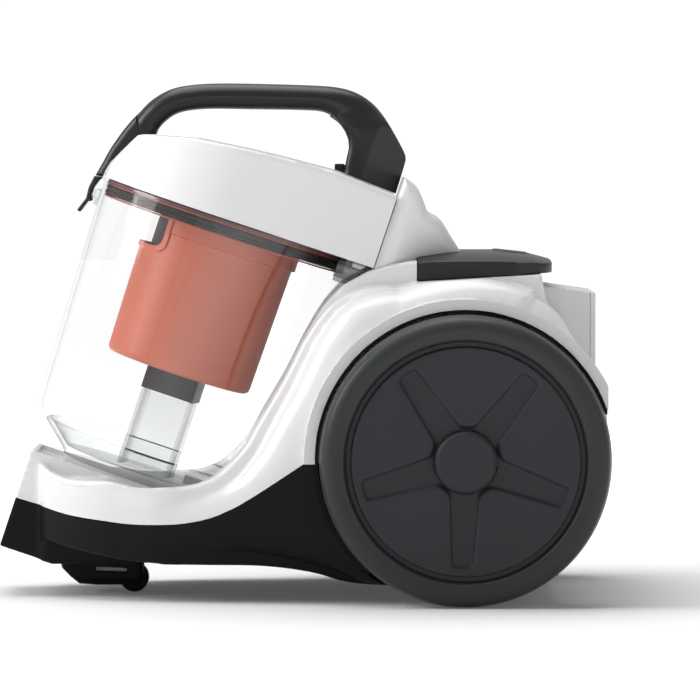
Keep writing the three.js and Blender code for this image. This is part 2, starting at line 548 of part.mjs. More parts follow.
// ---- Lid, handle and catches ----
const LID = [[-LID_R, 0], [-78.4, 9.4], [-66.4, 30.7], [-57.1, 33.7], [-32.4, 40], [-1, 43.5], [17.4, 45.3],
  [52.2, 47.7], [SEAM_U, 45.3], [SEAM_U, 0]];
const HANDLE = [[-119.4, 254.9], [-124.4, 254.5], [-117.4, 266.2], [-108.7, 278.8], [-98.1, 292.3], [-88.4, 301],
  [-76.8, 305.8], [-59.5, 308], [-31.6, 307.6], [20.2, 305.4], [29.9, 303.4], [39.5, 298.1], [49.2, 286.5],
  [61.3, 266.2], [62.6, 260.5], [61.9, 255.6], [57, 241], [20, 250], [25.5, 253.2], [25.1, 259.5], [28.4, 267.2],
  [29.4, 274.9], [27, 281.7], [20.2, 288.5], [10.6, 291.2], [-18.4, 291.8], [-54.6, 293], [-69.1, 291.8],
  [-78.7, 287.5], [-85.5, 280.7], [-88, 275], [-97, 272], [-112, 258]];
const LATCH = [[-121.2, 253.2], [-121.8, 251.5], [-125.4, 246.4], [-127, 241], [-126.8, 236.8], [-128.4, 237.4],
  [-133.8, 230.2], [-136.3, 231.4], [-130.4, 238.6], [-128.6, 245], [-124.9, 253.4]];

function lidBlock(extra, low) {
  const side = [[-LID_R - extra, low], ...inset(LID, -extra), [SEAM_U + extra, low]];
  return prism(side, -90, 90, cupMatrix).intersect(slab(lidPlan(extra), low, 60, cupMatrix));
}

function addLid() {
  const outlet = box(SEAM_U - 12, SEAM_U + 6, -OUTLET.half, OUTLET.half, OUTLET.low, OUTLET.high, cupMatrix);
  const shell = lidBlock(0, 0).subtract(lidBlock(-WALL, -5)).subtract(outlet);
  add("lid_shell", shell, WHITE);
  let tray = inCupTurned([[0, 0.6], [69, 0.6], [69, 3.4], [66, 3.4], [66, 20], [63, 20], [63, 3.4], [0, 3.4]]);
  for (let i = 0; i < 6; i += 1) {
    const turn = (i * Math.PI) / 3;
    tray = tray.subtract(cylinder(11, -3, 10, 8, "z", inCup(38 * Math.cos(turn), 38 * Math.sin(turn), 0)));
  }
  add("filter_tray", tray, GREY);
  add("foam_filter", inCupTurned([[0, 3.8], [62.4, 3.8], [62.4, 18], [0, 18]], 32), FOAM);
  const pocket = box(24, TRIGGER.x1 + BUTTON_TRAVEL + 1, -TRIGGER.y - GAP, TRIGGER.y + GAP, TRIGGER.z0 - GAP,
    TRIGGER.z1 + GAP);
  const handle = roundedPrism(HANDLE, 15, 2, 2).subtract(lidBlock(GAP, -5)).subtract(pocket);
  add("handle", handle, BLACK);
  const trigger = prism([[TRIGGER.x0 + 0.6, TRIGGER.z0], [TRIGGER.x0, TRIGGER.z0 + 6], [TRIGGER.x0 - 3, TRIGGER.z1],
    [TRIGGER.x1, TRIGGER.z1], [TRIGGER.x1, TRIGGER.z0]], -TRIGGER.y, TRIGGER.y);
  add("release_trigger", trigger, GRAPHITE);
  add("lid_latch", prism([...LATCH].reverse(), -9, 9), BLACK);
}

addHousing();
addTower();
addPanel();
addExhaust();
addWheel("near", -1);
addWheel("far", 1);
addCaster();
addIntake();
addMotor();
addReel();
addCup();
addLid();
export default vacuum;
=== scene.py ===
"""Bagless canister vacuum cleaner: the visible surfaces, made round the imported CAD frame.

Shapes are written in millimetres and become metres when a mesh is made. +X is the rear, +Z is up, and the
mirror plane is y = 0. The cup, its lid and its seat share a frame that leans back, with u to the rear and
h along the cup's axis from its rim. Moulded housings are fields: a function of points that is negative
inside, joined and cut with soft corners, then turned into a mesh that keeps its sharp edges.
"""

import json
import math

import bpy
import numpy as np
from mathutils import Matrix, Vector


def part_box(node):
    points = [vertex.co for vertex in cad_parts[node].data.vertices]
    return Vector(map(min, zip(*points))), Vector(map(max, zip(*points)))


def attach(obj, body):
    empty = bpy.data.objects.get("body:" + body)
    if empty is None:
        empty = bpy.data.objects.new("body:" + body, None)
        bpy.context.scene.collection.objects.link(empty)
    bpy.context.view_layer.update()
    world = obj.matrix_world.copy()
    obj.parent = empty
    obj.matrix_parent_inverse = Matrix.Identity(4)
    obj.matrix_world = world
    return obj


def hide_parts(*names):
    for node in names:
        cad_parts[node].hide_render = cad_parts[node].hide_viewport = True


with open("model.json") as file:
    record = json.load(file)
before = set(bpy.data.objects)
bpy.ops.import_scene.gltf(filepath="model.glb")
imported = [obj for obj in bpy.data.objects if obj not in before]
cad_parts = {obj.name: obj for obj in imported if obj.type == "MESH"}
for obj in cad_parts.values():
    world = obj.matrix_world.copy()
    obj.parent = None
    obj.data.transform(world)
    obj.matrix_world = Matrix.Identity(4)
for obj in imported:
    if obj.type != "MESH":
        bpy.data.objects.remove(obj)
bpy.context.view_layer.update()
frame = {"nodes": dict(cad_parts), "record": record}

MM = 0.001
JOINTS = {joint["name"]: joint for joint in frame["record"]["behaviour"]["joints"]}


def cad(node):
    """A CAD node's lowest and highest corners in millimetres."""
    low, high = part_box(node)
    return np.array(low) / MM, np.array(high) / MM


# ---- Places and sizes, some of them read from the frame ----
LEAN = math.atan2(JOINTS["cup_lift"]["axis"][0], JOINTS["cup_lift"]["axis"][2])
COS, SIN = math.cos(LEAN), math.sin(LEAN)
RIM = np.array([-44.4, 0.0, 226.8])  # centre of the cup's rim, where u = h = 0
LID_R = 80.2
SEAM_U = 92.2
SEAM_Y = 74.0
CUP_R_TOP = 79.4
CUP_R_LOW = 75.3
SEAT_R = 82.0
SEAT_FLOOR = -167.8

WHEEL_LOW, WHEEL_HIGH = cad("tyre_near")
WHEEL_X = (WHEEL_LOW[0] + WHEEL_HIGH[0]) / 2
WHEEL_Z = (WHEEL_LOW[2] + WHEEL_HIGH[2]) / 2
WHEEL_R = (WHEEL_HIGH[2] - WHEEL_LOW[2]) / 2
WHEEL_OUT = -WHEEL_LOW[1]
HUB_OUT = -cad("hub_cap_near")[0][1]
WELL_R = 88.4
WELL_IN = 88.0
ARCH_R = 94.8
ARCH_Y = cad("upper_shell")[1][1]
CORE_Y = 75.0
LAND_Y = 86.0
REAR_WALL = 158.0
FENDER_IN = 82.0
SPLIT_Z = 82.9
NOSE_U = -68.0
NOSE_Y = 38.0
NOSE_END = -229.5
TRAY_LIP = 3.0
DUCT_BEND = (-20.0, 38.0)  # x and z where the intake duct turns up
SOCKET_H = -199.5
SOCKET_R = 18.5
CASTER_X = JOINTS["caster_swivel"]["pos_m"][0] / MM
CASTER_POCKET_R = 36.0
CASTER_CEILING = 30.0
PANEL_LOW, PANEL_HIGH = cad("control_panel")
BOX_LOW, BOX_HIGH = cad("exhaust_box")


# ---- Outlines ----
def spline(points, steps=6):
    """A smooth line through points (Catmull-Rom)."""
    p = np.array(points, float)
    p = np.vstack([2 * p[0] - p[1], p, 2 * p[-1] - p[-2]])
    t = np.linspace(0, 1, steps, endpoint=False)[:, None]
    out = []
    for a, b, c, d in zip(p, p[1:], p[2:], p[3:]):
        square_term = (2 * a - 5 * b + 4 * c - d) * t**2
        out.append(0.5 * (2 * b + (c - a) * t + square_term + (3 * b - a - 3 * c + d) * t**3))
    return np.vstack(out + [p[-2:-1]])


def arc(cx, cz, radius, start, end, steps=16):
    angles = np.radians(np.linspace(start, end, steps + 1))
    return np.column_stack([cx + radius * np.cos(angles), cz + radius * np.sin(angles)])


def rounded(points, steps=5, closed=True):
    """An outline with each corner (a, b, radius) turned into an arc."""
    out = []
    n = len(points)
    for i, corner in enumerate(points):
        here = np.array(corner[:2], float)
        radius = corner[2] if len(corner) > 2 else 0
        if radius <= 0 or (not closed and i in (0, n - 1)):
            out.append(here)
            continue
        before = np.array(points[i - 1][:2], float) - here
        after = np.array(points[(i + 1) % n][:2], float) - here
        long_before, long_after = np.linalg.norm(before), np.linalg.norm(after)
        before, after = before / long_before, after / long_after
        half = math.acos(np.clip(before @ after, -1, 1)) / 2
        if half > 1.56:
            out.append(here)
            continue
        reach = min(radius / math.tan(half), 0.49 * long_before, 0.49 * long_after)
        radius = reach * math.tan(half)
        middle = here + (before + after) / np.linalg.norm(before + after) * radius / math.sin(half)
        start, end = here + before * reach - middle, here + after * reach - middle
        for t in np.linspace(0, 1, steps + 1):
            blend = start * (1 - t) + end * t
            out.append(middle + blend / np.linalg.norm(blend) * radius)
    return np.array(out)


# ---- Fields ----
def outline_field(points, step=0.8, margin=24):
    """The signed distance to a closed outline, kept on a fine grid and read back between its nodes."""
    p = np.array(points, float)
    low = p.min(0) - margin
    counts = np.ceil((p.max(0) + margin - low) / step).astype(int) + 2
    lines = (low[k] + np.arange(counts[k]) * step for k in range(2))
    a, b = np.meshgrid(*lines, indexing="ij")
    nearest = np.full(a.shape, 1e9)
    inside = np.zeros(a.shape, bool)
    for (ax, ay), (bx, by) in zip(p, np.roll(p, -1, axis=0)):
        dx, dy = bx - ax, by - ay
        length2 = dx * dx + dy * dy
        if length2 == 0:
            continue
        t = np.clip(((a - ax) * dx + (b - ay) * dy) / length2, 0, 1)
        nearest = np.minimum(nearest, (a - ax - t * dx) ** 2 + (b - ay - t * dy) ** 2)
        if dy != 0:
            crosses = (ay > b) != (by > b)
            inside ^= crosses & (a < ax + (b - ay) * dx / dy)
    table = np.sqrt(nearest) * np.where(inside, -1, 1)

    def field(x, z):
        i = np.clip((x - low[0]) / step, 0, counts[0] - 1.001)
        j = np.clip((z - low[1]) / step, 0, counts[1] - 1.001)
        i0, j0 = i.astype(int), j.astype(int)
        s, t = i - i0, j - j0
        return ((table[i0, j0] * (1 - s) + table[i0 + 1, j0] * s) * (1 - t)
                + (table[i0, j0 + 1] * (1 - s) + table[i0 + 1, j0 + 1] * s) * t)

    return field


def both(a, b, soft=0.0):
    """Where two fields overlap, with a rounded edge."""
    if soft <= 0:
        return np.maximum(a, b)
    h = np.maximum(soft - np.abs(a - b), 0)
    return np.maximum(a, b) + h * h / (4 * soft)


def either(a, b, soft=0.0):
    """Two fields joined, with a filled corner."""
    return -both(-a, -b, soft)


def without(a, b, soft=0.0):
    return both(a, -b, soft)


def leaning(x, z):
    """u and h of points in the cup's frame."""
    dx, dz = x - RIM[0], z - RIM[2]
    return dx * COS - dz * SIN, dx * SIN + dz * COS


def level(u, y, h):
    """The frame's x, y and z of points in the cup's frame."""
    return np.array([RIM[0] + u * COS + h * SIN, y + 0 * u, RIM[2] - u * SIN + h * COS])


# ---- Field to mesh ----
BLOCK = 8  # cells along a block's edge
BATCH = 1500  # blocks worked out at once
SLOPE_STEP = 0.06
CELL_LARGE = 1.9
CELL_MIDDLE = 1.6
CELL_FINE = 1.1


def sampled(field, low, blocks, cell):
    """The field on a grid: block by block near its surface, and one value for each block far from it."""
    middles = [low[k] + (np.arange(blocks[k]) + 0.5) * cell * BLOCK for k in range(3)]
    coarse = field(*(c.ravel() for c in np.meshgrid(*middles, indexing="ij")))
    near = np.flatnonzero(np.abs(coarse) < cell * BLOCK * 1.15)
    values = np.repeat(np.repeat(np.repeat(coarse.reshape(blocks), BLOCK, 0), BLOCK, 1), BLOCK, 2)
    values = np.pad(values, ((0, 1),) * 3, mode="edge").astype(np.float32)
    bi, bj, bk = np.unravel_index(near, blocks)
    local = np.arange(BLOCK + 1)
    for start in range(0, len(near), BATCH):
        part = slice(start, start + BATCH)
        i = (bi[part, None] * BLOCK + local)[:, :, None, None]
        j = (bj[part, None] * BLOCK + local)[:, None, :, None]
        k = (bk[part, None] * BLOCK + local)[:, None, None, :]
        i, j, k = np.broadcast_arrays(i, j, k)
        got = field(*(low[a] + index.ravel() * cell for a, index in enumerate((i, j, k))))
        values[i, j, k] = got.reshape(i.shape)
    return values


def crossing_points(field, start, axis, at_a, at_b, cell):
    """Where grid edges cross the surface, and the field's slope there."""
    t_low, t_high = np.zeros(len(start)), np.ones(len(start))
    t = at_a / (at_a - at_b)
    for _ in range(4):
        point = start.copy()
        point[:, axis] += t * cell
        value = field(*point.T)
        same = (value < 0) == (at_a < 0)
        t_low, at_a = np.where(same, t, t_low), np.where(same, value, at_a)
        t_high, at_b = np.where(same, t_high, t), np.where(same, at_b, value)
        t = t_low + (t_high - t_low) * np.clip(at_a / (at_a - at_b + 1e-12), 0.02, 0.98)
    point = start.copy()
    point[:, axis] += t * cell
    slope = []
    for k in range(3):
        ahead, behind = point.copy(), point.copy()
        ahead[:, k] += SLOPE_STEP
        behind[:, k] -= SLOPE_STEP
        slope.append(field(*ahead.T) - field(*behind.T))
    normal = np.column_stack(slope)
    return point, normal / (np.linalg.norm(normal, axis=1, keepdims=True) + 1e-12)


def corner_places(points, normals, owner, total):
    """One corner for each cell: the point nearest to the planes of all its crossings."""
    count = np.bincount(owner, minlength=total)
    mean = np.column_stack([np.bincount(owner, points[:, k], total) for k in range(3)]) / count[:, None]
    away = np.einsum("ij,ij->i", normals, points - mean[owner])
    ata = np.zeros((total, 3, 3))
    atb = np.zeros((total, 3))
    for p in range(3):
        atb[:, p] = np.bincount(owner, normals[:, p] * away, total)
        for q in range(3):
            ata[:, p, q] = np.bincount(owner, normals[:, p] * normals[:, q], total)
    ata += np.eye(3) * 0.04 * count[:, None, None]
    return mean + np.linalg.solve(ata, atb[:, :, None])[:, :, 0]


def contour(field, low, high, cell):
    """The zero surface of a field as (corners, quads), with sharp edges kept (dual contouring)."""
    low = np.array(low, float)
    blocks = np.ceil((np.array(high) - low) / (cell * BLOCK)).astype(int)
    n = blocks * BLOCK
    values = sampled(field, low, blocks, cell)
    strides = np.array([n[1] * n[2], n[2], 1])
    quads, points, normals, owners = [], [], [], []
    for axis in range(3):
        first = [slice(None)] * 3
        second = [slice(None)] * 3
        first[axis], second[axis] = slice(0, -1), slice(1, None)
        a, b = values[tuple(first)], values[tuple(second)]
        hit = np.argwhere((a < 0) != (b < 0))
        sides = [(axis + 1) % 3, (axis + 2) % 3]
        hit = hit[np.all((hit[:, sides] > 0) & (hit[:, sides] < n[sides]), axis=1)]
        at_a, at_b = (grid[tuple(hit.T)].astype(float) for grid in (a, b))
        point, normal = crossing_points(field, low + hit * cell, axis, at_a, at_b, cell)
        base = hit @ strides
        s1, s2 = strides[sides]
        ring = np.column_stack([base - s1 - s2, base - s2, base, base - s1])
        owners.append(ring.T.ravel())
        points.append(np.tile(point, (4, 1)))
        normals.append(np.tile(normal, (4, 1)))
        flip = at_a >= 0
        ring[flip] = ring[flip][:, ::-1]
        quads.append(ring)
    cells, owner = np.unique(np.concatenate(owners), return_inverse=True)
    corners = corner_places(np.vstack(points), np.vstack(normals), owner.ravel(), len(cells))
    corner_low = low + np.column_stack(np.unravel_index(cells, n)) * cell
    corners = np.clip(corners, corner_low - 0.1 * cell, corner_low + 1.1 * cell)
    return corners, np.searchsorted(cells, np.vstack(quads))


def tidy_faces(corners, quads):
    """Corners in metres and faces with no repeated corner."""
    faces = []
    for quad in quads.tolist():
        face = list(dict.fromkeys(quad))
        if len(face) > 2:
            faces.append(face)
    return corners * MM, faces


def new_object(name, corners, faces, sharp=math.radians(32)):
    mesh = bpy.data.meshes.new(name)
    mesh.from_pydata([tuple(c) for c in corners], [], [tuple(f) for f in faces])
    mesh.validate()
    mesh.polygons.foreach_set("use_smooth", [True] * len(mesh.polygons))
    mesh.set_sharp_from_angle(angle=sharp)
    mesh.update()
    obj = bpy.data.objects.new(name, mesh)
    bpy.context.scene.collection.objects.link(obj)
    return obj


def finish_piece(obj, body, material, nodes=()):
    """Gives a piece its body and its material, and hides the CAD nodes it stands for."""
    obj.data.materials.clear()
    obj.data.materials.append(material)
    if nodes:
        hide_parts(*nodes)
    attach(obj, body)
    return obj


def from_field(name, field, low, high, cell, sharp=math.radians(32), place=None):
    """A piece from a field. place turns the field's own coordinates into the frame's."""
    corners, quads = contour(field, low, high, cell)
    if place:
        corners = place(*corners.T).T
    return new_object(name, *tidy_faces(corners, quads), sharp=sharp)


# ---- The housing ----
CHEEK_EDGE = [(-160.5, 82.6), (-148.9, 74.4), (-136.6, 70.9), (-116, 70.5), (-95.4, 68.9), (-83.2, 68.3),
              (-67.1, 69.4), (-58.1, 71.8), (-48.5, 76.8), (-34, 91.6), (-24.4, 107.9), (-9.8, 132.7),
              (1.2, 154.5), (13.1, 175.2), (27.2, 190.4)]
CHEEK_CORNER = [(1.2, 154.5), (9.4, 167.2), (17.4, 176.4), (27, 182.8), (38, 186.2), (50, 187.2)]
REAR_SLOPE = [(138.1, 180.4), (145, 177), (153, 170), (161, 158), (168, 147), (173.3, 139.5), (179.4, 119.4),
              (181, 112)]
UNDERSIDE = [(60, 8), (44, 8.4), (25.2, 12.4), (6.3, 17.9), (-21.9, 21.6), (-55, 22.2), (-90.1, 22.5),
             (-110, 21.5), (-148.8, 20.4)]
CORE_TOP = [(27.5, 189.4), (36, 194), (43, 197.2), (55, 200.4), (69.3, 202.6), (90, 203), (118, 200.5),
            (142.6, 194.3)]
SPLIT = [(-230, 75), (-176, 60.3), (-161.1, 56), (-142.5, 51), (-130, 49), (-116.2, 47.4), (-101.1, 45.9),
         (-83.2, 45.9), (-69.1, 47), (-55, 50), (-45.2, 53.8), (-31.2, 61.2), (1.7, 82.9)]


def cheek_outline():
    top = arc(WHEEL_X, WHEEL_Z, 107.5, 111, 68, 10)
    return np.vstack([spline(CHEEK_EDGE[:-2], 6)[:-1], spline(CHEEK_CORNER, 6), top, spline(REAR_SLOPE, 4),
                      [(177, 60), (152, 16), (130, 8)], spline(UNDERSIDE, 4), [(-182.5, 31.2)]])


def core_outline():
    rear = rounded([(142.6, 194.3, 0), (145.8, 176, 14), (158, 164, 10), (158, 40, 20), (140, 8, 10),
                    (60, 8, 0)])
    return np.vstack([spline(CHEEK_EDGE, 6)[:-1], spline(CORE_TOP, 5), rear[1:], spline(UNDERSIDE, 4)[1:],
                      [(-182.5, 31.2)]])


PLAN = [(-172, -20), (-162, 20), (-157, 38), (-150, 50), (-130, 66), (-100, 80), (-60, 92), (-20, 99),
        (20, 104.5), (60, 106), (100, 106), (190, 104), (260, 100)]
FRONT_UNDER = [(-165, 36), (-137, 30.4), (-122, 27.5), (-110, 25.2), (-85, 21.5), (-70, 10)]
plan_line = spline(PLAN, 8)
plan_slope = np.gradient(plan_line[:, 1], plan_line[:, 0])
cheek_side = outline_field(cheek_outline())
core_side = outline_field(core_outline())
split_line = spline(SPLIT, 6)


def plan_field(x, ay):
    width = np.interp(x, plan_line[:, 0], plan_line[:, 1])
    slope = np.interp(x, plan_line[:, 0], plan_slope)
    return (ay - width) / np.sqrt(1 + slope * slope)


def split_field(x, y, z):
    """Negative in the white moulding: above the line between the two, and in the skin of the cup's seat."""
    u, h = leaning(x, z)
    height = np.interp(x, split_line[:, 0], split_line[:, 1])
    seat_skin = both(np.hypot(u, y) - SEAT_R - 6, SEAT_FLOOR - 7 - h)
    return either((height - z) * 0.85, seat_skin)


def from_wheel(x, z):
    return np.hypot(x - WHEEL_X, z - WHEEL_Z)


LID_FLANK = spline([(0, -LID_R), (40, -79.4), (70, -77), (SEAM_U, -SEAM_Y)], 6)
lid_plan = outline_field(np.vstack([arc(0, 0, LID_R, 90, 270, 60), LID_FLANK[1:], LID_FLANK[::-1] * [1, -1]]))


def duct_cover(x, ay, z):
    """A soft rise in the seat's floor over the intake duct, which climbs to the rear under it."""
    dx, dz = x - DUCT_BEND[0], z - DUCT_BEND[1]
    along = dx * 0.92 + dz * 0.39
    across = dz * 0.92 - dx * 0.39
    return both(both(np.abs(along) - 24, np.abs(across) - 12), ay - 18, 8)


def body_field(x, y, z):
    """Both housing mouldings as one solid."""
    ay = np.abs(y)
    u, h = leaning(x, z)
    side = cheek_side(x, z)
    plan = plan_field(x, ay)
    arm_step = np.interp(x, [-75, -35, 20, 60], [0, 6, 5, 0])  # leaves the core's edge as a band by the cup
    cheek = both(side + arm_step, plan, 24)
    land = both(side, ay - LAND_Y, 5)
    land = both(land, x - 60)
    cheek = either(cheek, both(land, plan, 3), 2)
    core = both(core_side(x, z), ay - CORE_Y, 4)
    whole = either(cheek, both(core, plan, 4), 3)
    around = from_wheel(x, z)
    arch = both(around - ARCH_R, ay - ARCH_Y, 0.8)
    arch = both(arch, SPLIT_Z + 0.5 - z, 0)
    arch = both(arch, 70 - ay)
    arch = both(arch, x - 180.8)
    whole = either(whole, arch, 0.4)
    nose = both(both(ay - NOSE_Y - (x + 180) * 0.04, NOSE_U - u, 1.5), h - SEAT_FLOOR + 0.6, 1)
    nose = both(both(both(nose, NOSE_END - h, 1.5), u - 20), 20.4 - z)
    under = both(z - np.interp(x, *zip(*FRONT_UNDER)), 42 - ay, 5)
    whole = either(without(whole, under, 4), nose, 2)
    seat = both(np.hypot(u, y) - SEAT_R, SEAT_FLOOR - h, 10)
    whole = without(whole, seat, 3)
    tray = both(both(ay - NOSE_Y + TRAY_LIP, NOSE_U + TRAY_LIP - u), both(SEAT_FLOOR - 4 - h, u + 48), 1)
    whole = without(whole, tray, 1)
    whole = either(whole, duct_cover(x, ay, z), 6)
    over_lid = both(lid_plan(u, y) - 0.8, -0.9 - h)
    whole = without(whole, over_lid)
    bracket = both(both(np.abs(u - 86) - 7, ay - 61), -15.5 - h)
    whole = without(whole, bracket, 1)
    between = both(REAR_WALL - x, ay - FENDER_IN)
    whole = without(whole, between, 6)
    well = both(around - WELL_R, WELL_IN - ay, 1)
    whole = without(whole, well, 0.6)
    pocket = both(np.hypot(x - CASTER_X, y) - CASTER_POCKET_R, z - CASTER_CEILING, 2)
    whole = without(whole, pocket, 1.5)
    socket = both(np.hypot(y, h - SOCKET_H) - SOCKET_R - 4.3, u + 40)
    return without(whole, socket)


def upper_field(x, y, z):
    """The white moulding, with room for the panel and the exhaust box."""
    ay = np.abs(y)
    shell = both(body_field(x, y, z), split_field(x, y, z) + 0.25)
    panel = both(both(PANEL_LOW[0] - 0.3 - x, x - PANEL_HIGH[0] - 4), panel_under(x) - 0.3 - z)
    exhaust = both(both(BOX_LOW[0] - x, ay - 55.5), both(BOX_LOW[2] - 0.5 - z, z - BOX_HIGH[2] - 0.5))
    cavity = both(both(74 - x, x - 136), both(ay - 66, 168 - z))
    return without(without(without(shell, panel), exhaust), cavity)


def base_field(x, y, z):
    return both(body_field(x, y, z), 0.25 - split_field(x, y, z))


def make_housing():
    upper = from_field("housing_upper", upper_field, (-190, -112, 40), (186, 112, 210), CELL_LARGE)
    finish_piece(upper, "chassis", WHITE, ["upper_shell"])
    base = from_field("housing_base", base_field, (-190, -110, 5), (180, 110, 90), CELL_LARGE)
    finish_piece(base, "chassis", BLACK, ["base_shell"])


TOWER = [(34, 180), (61.4, 251.6), (63.5, 250.4), (68.5, 246.3), (72.2, 239), (75.1, 231.8), (78, 229.3),
         (82.3, 226.9), (86, 222), (88.9, 217), (95.5, 206.8), (106, 190), (106, 170), (34, 170)]
tower_side = outline_field(np.vstack([TOWER[:2], spline(TOWER[1:11], 5)[1:], TOWER[11:]]))


def tower_field(x, y, z):
    ay = np.abs(y)
    u, h = leaning(x, z)
    width = np.interp(u, [60, SEAM_U, 102, 112, 124, 140], [76, SEAM_Y, 70, 62, 53, 42])
    made = both(tower_side(x, z), (ay - width) * 0.93, 9)
    made = both(made, SEAM_U + 0.28 - u)
    shell_top = np.interp(x, [20, 43, 69, 90, 110], [189, 197.6, 203, 203.4, 202])
    made = both(made, shell_top - 0.2 - z)
    made = both(made, np.where(x > PANEL_LOW[0] - 0.4, crown(x, y) + 0.15 - z, -1.0))
    outlet = both(both(np.abs(h - 24) - 10, ay - 28, 4), u - SEAM_U - 8)
    return without(made, outlet, 0.8)


def make_tower():
    tower = from_field("tower_skin", tower_field, (36, -80, 190), (110, 80, 256), CELL_MIDDLE)
    finish_piece(tower, "chassis", WHITE, ["tower_cover"])


# ---- Control panel, buttons and exhaust ----
PANEL_Y = PANEL_HIGH[1]
PANEL_PLAN = rounded([(69, -PANEL_Y, 1), (69, PANEL_Y, 1), (149.6, PANEL_Y, 26), (149.6, -PANEL_Y, 26)], 10)
panel_plan = outline_field(PANEL_PLAN, 0.6, 12)
KEY_PLAN = [(115.4, 5.4, 2), (136.6, 5.4, 2), (136.6, 27.6, 7), (115.4, 27.6, 7)]
KEY_X, KEY_Y = 126.0, 16.5
button_plans = {side: outline_field(rounded([(x, side * y, r) for x, y, r in KEY_PLAN], 6), 0.4, 12)
                for side in (-1, 1)}


def panel_under(x):
    return np.interp(x, [69, 150], [190.3, 195])


def crown(x, y):
    """Height of the panel's domed top, which falls away to the front under the tower."""
    across = (y / PANEL_Y) ** 4
    front = 89.6 - 9 * (y / PANEL_Y) ** 2
    along = np.interp(np.maximum(x, front), [80, 92, 118, 137, 150], [206.9, 207.2, 207.2, 205.2, 201.8])
    return along - 5 * across - np.maximum(front - x, 0) * 0.08


def panel_field(x, y, z):
    made = both(both(panel_plan(x, y), z - crown(x, y), 0.8), panel_under(x) - z, 1)
    for plan in button_plans.values():
        made = without(made, both(plan(x, y) - 0.45, 185 - z), 0.5)
    return made


def make_panel():
    panel = from_field("panel_cover", panel_field, (66, -78, 188), (153, 78, 211), CELL_FINE)
    finish_piece(panel, "chassis", PANEL_BLACK, ["control_panel"])
    for side, name, node, body in ((-1, "power_key_cap", "power_button", "power_key"),
                                   (1, "rewind_key_cap", "rewind_button", "rewind_key")):
        plan = button_plans[side]

        def key_field(x, y, z):
            cap = both(both(plan(x, y), z - crown(x, y) - 0.5, 1.2), 199 - z)
            dx, dy = x - KEY_X, y - side * KEY_Y
            dish = np.sqrt(dx**2 + dy**2 + (z - 247) ** 2) - 40.2
            stem = both(both(np.abs(dx) - 3, np.abs(dy) - 3), both(180 - z, z - 200))
            mark = np.abs(np.hypot(dx, dy) - 4.2) - 0.45
            return without(without(either(cap, stem), dish, 0.6), both(mark, 205.9 - z), 0.2)

        low_y, high_y = sorted((side * 4, side * 29))
        key = from_field(name, key_field, (113, low_y, 178), (139, high_y, 210), 0.7)
        finish_piece(key, body, KEY_BLACK, [node])


def exhaust_field(x, y, z):
    ay = np.abs(y)
    top = 186.5 - (x - 147) * 0.14
    ends = both(BOX_LOW[0] + 0.4 - x, x - BOX_HIGH[0] - 0.15)
    case = both(ends, both(both(ay - 54.8, z - top, 1.2), BOX_LOW[2] - z, 2))
    return without(case, both(both(ay - 50, z - 178.5, 2), both(143 - z, 146 - x)), 1)


def grille_field(x, y, z):
    ay = np.abs(y)
    plate = both(both(both(ay - 54.6, z - 182.8, 1.5), 131 - z, 3), both(172.4 - x, x - 175.5, 0.6))
    inside = both(both(ay - 45, z - 176, 3), 146 - z, 3)
    slot = np.abs((z - 161) - 6 * np.round((z - 161) / 6)) - 1.5 - (x - 174) * 0.25
    plate = without(plate, both(inside, slot), 0.5)
    frame_line = both(np.abs(inside - 2.2) - 0.5, 174.9 - x)
    return without(plate, frame_line, 0.3)


def make_exhaust():
    case = from_field("exhaust_case", exhaust_field, (139, -58, 135), (175, 58, 190), CELL_MIDDLE)
    finish_piece(case, "chassis", GREY, ["exhaust_box"])
    grille = from_field("exhaust_slats", grille_field, (171, -57, 129), (178, 57, 185), 0.9)
    finish_piece(grille, "rear_grille", GREY_LIGHT, ["exhaust_grille"])


# ---- Turned pieces ----
def lathe(name, profile, place, steps=96, closed=True, sharp=math.radians(32)):
    """A profile of (radius, height) turned about its axis. place puts (across, side, height) in the frame."""
    profile = np.array(profile, float)
    angles = np.arange(steps) * 2 * np.pi / steps
    corners, rings = [], []
    for radius, height in profile:
        if radius < 1e-6:
            rings.append([len(corners)] * steps)
            corners.append((0, 0, height))
        else:
            rings.append(list(range(len(corners), len(corners) + steps)))
            corners.extend((radius * math.cos(t), radius * math.sin(t), height) for t in angles)
    faces = []
    pairs = list(zip(rings, rings[1:])) + ([(rings[-1], rings[0])] if closed else [])
    for lower, upper in pairs:
        for i in range(steps):
            j = (i + 1) % steps
            face = list(dict.fromkeys([lower[i], lower[j], upper[j], upper[i]]))
            if len(face) > 2:
                faces.append(face)
    corners = np.array([place(*corner) for corner in corners]) * MM
    return new_object(name, corners, faces, sharp)


def on_wheel(sign):
    """The wheels' axis: height is the distance out from the mirror plane."""
    return lambda a, b, h: (WHEEL_X + a, sign * h, WHEEL_Z - sign * b)


def star(x, z):
    """The wheel disc's five tapered arms, in plan."""
    made = np.hypot(x, z) - 21
    for k in range(5):
        turn = math.radians(52 + 72 * k)
        r = x * math.cos(turn) + z * math.sin(turn)
        w = -x * math.sin(turn) + z * math.cos(turn)
        arm = both(np.abs(w) - (9.2 - (r - 20) * 0.06), r - 62.8, 3)
        made = either(made, both(arm, 4 - r), 3)
    return made


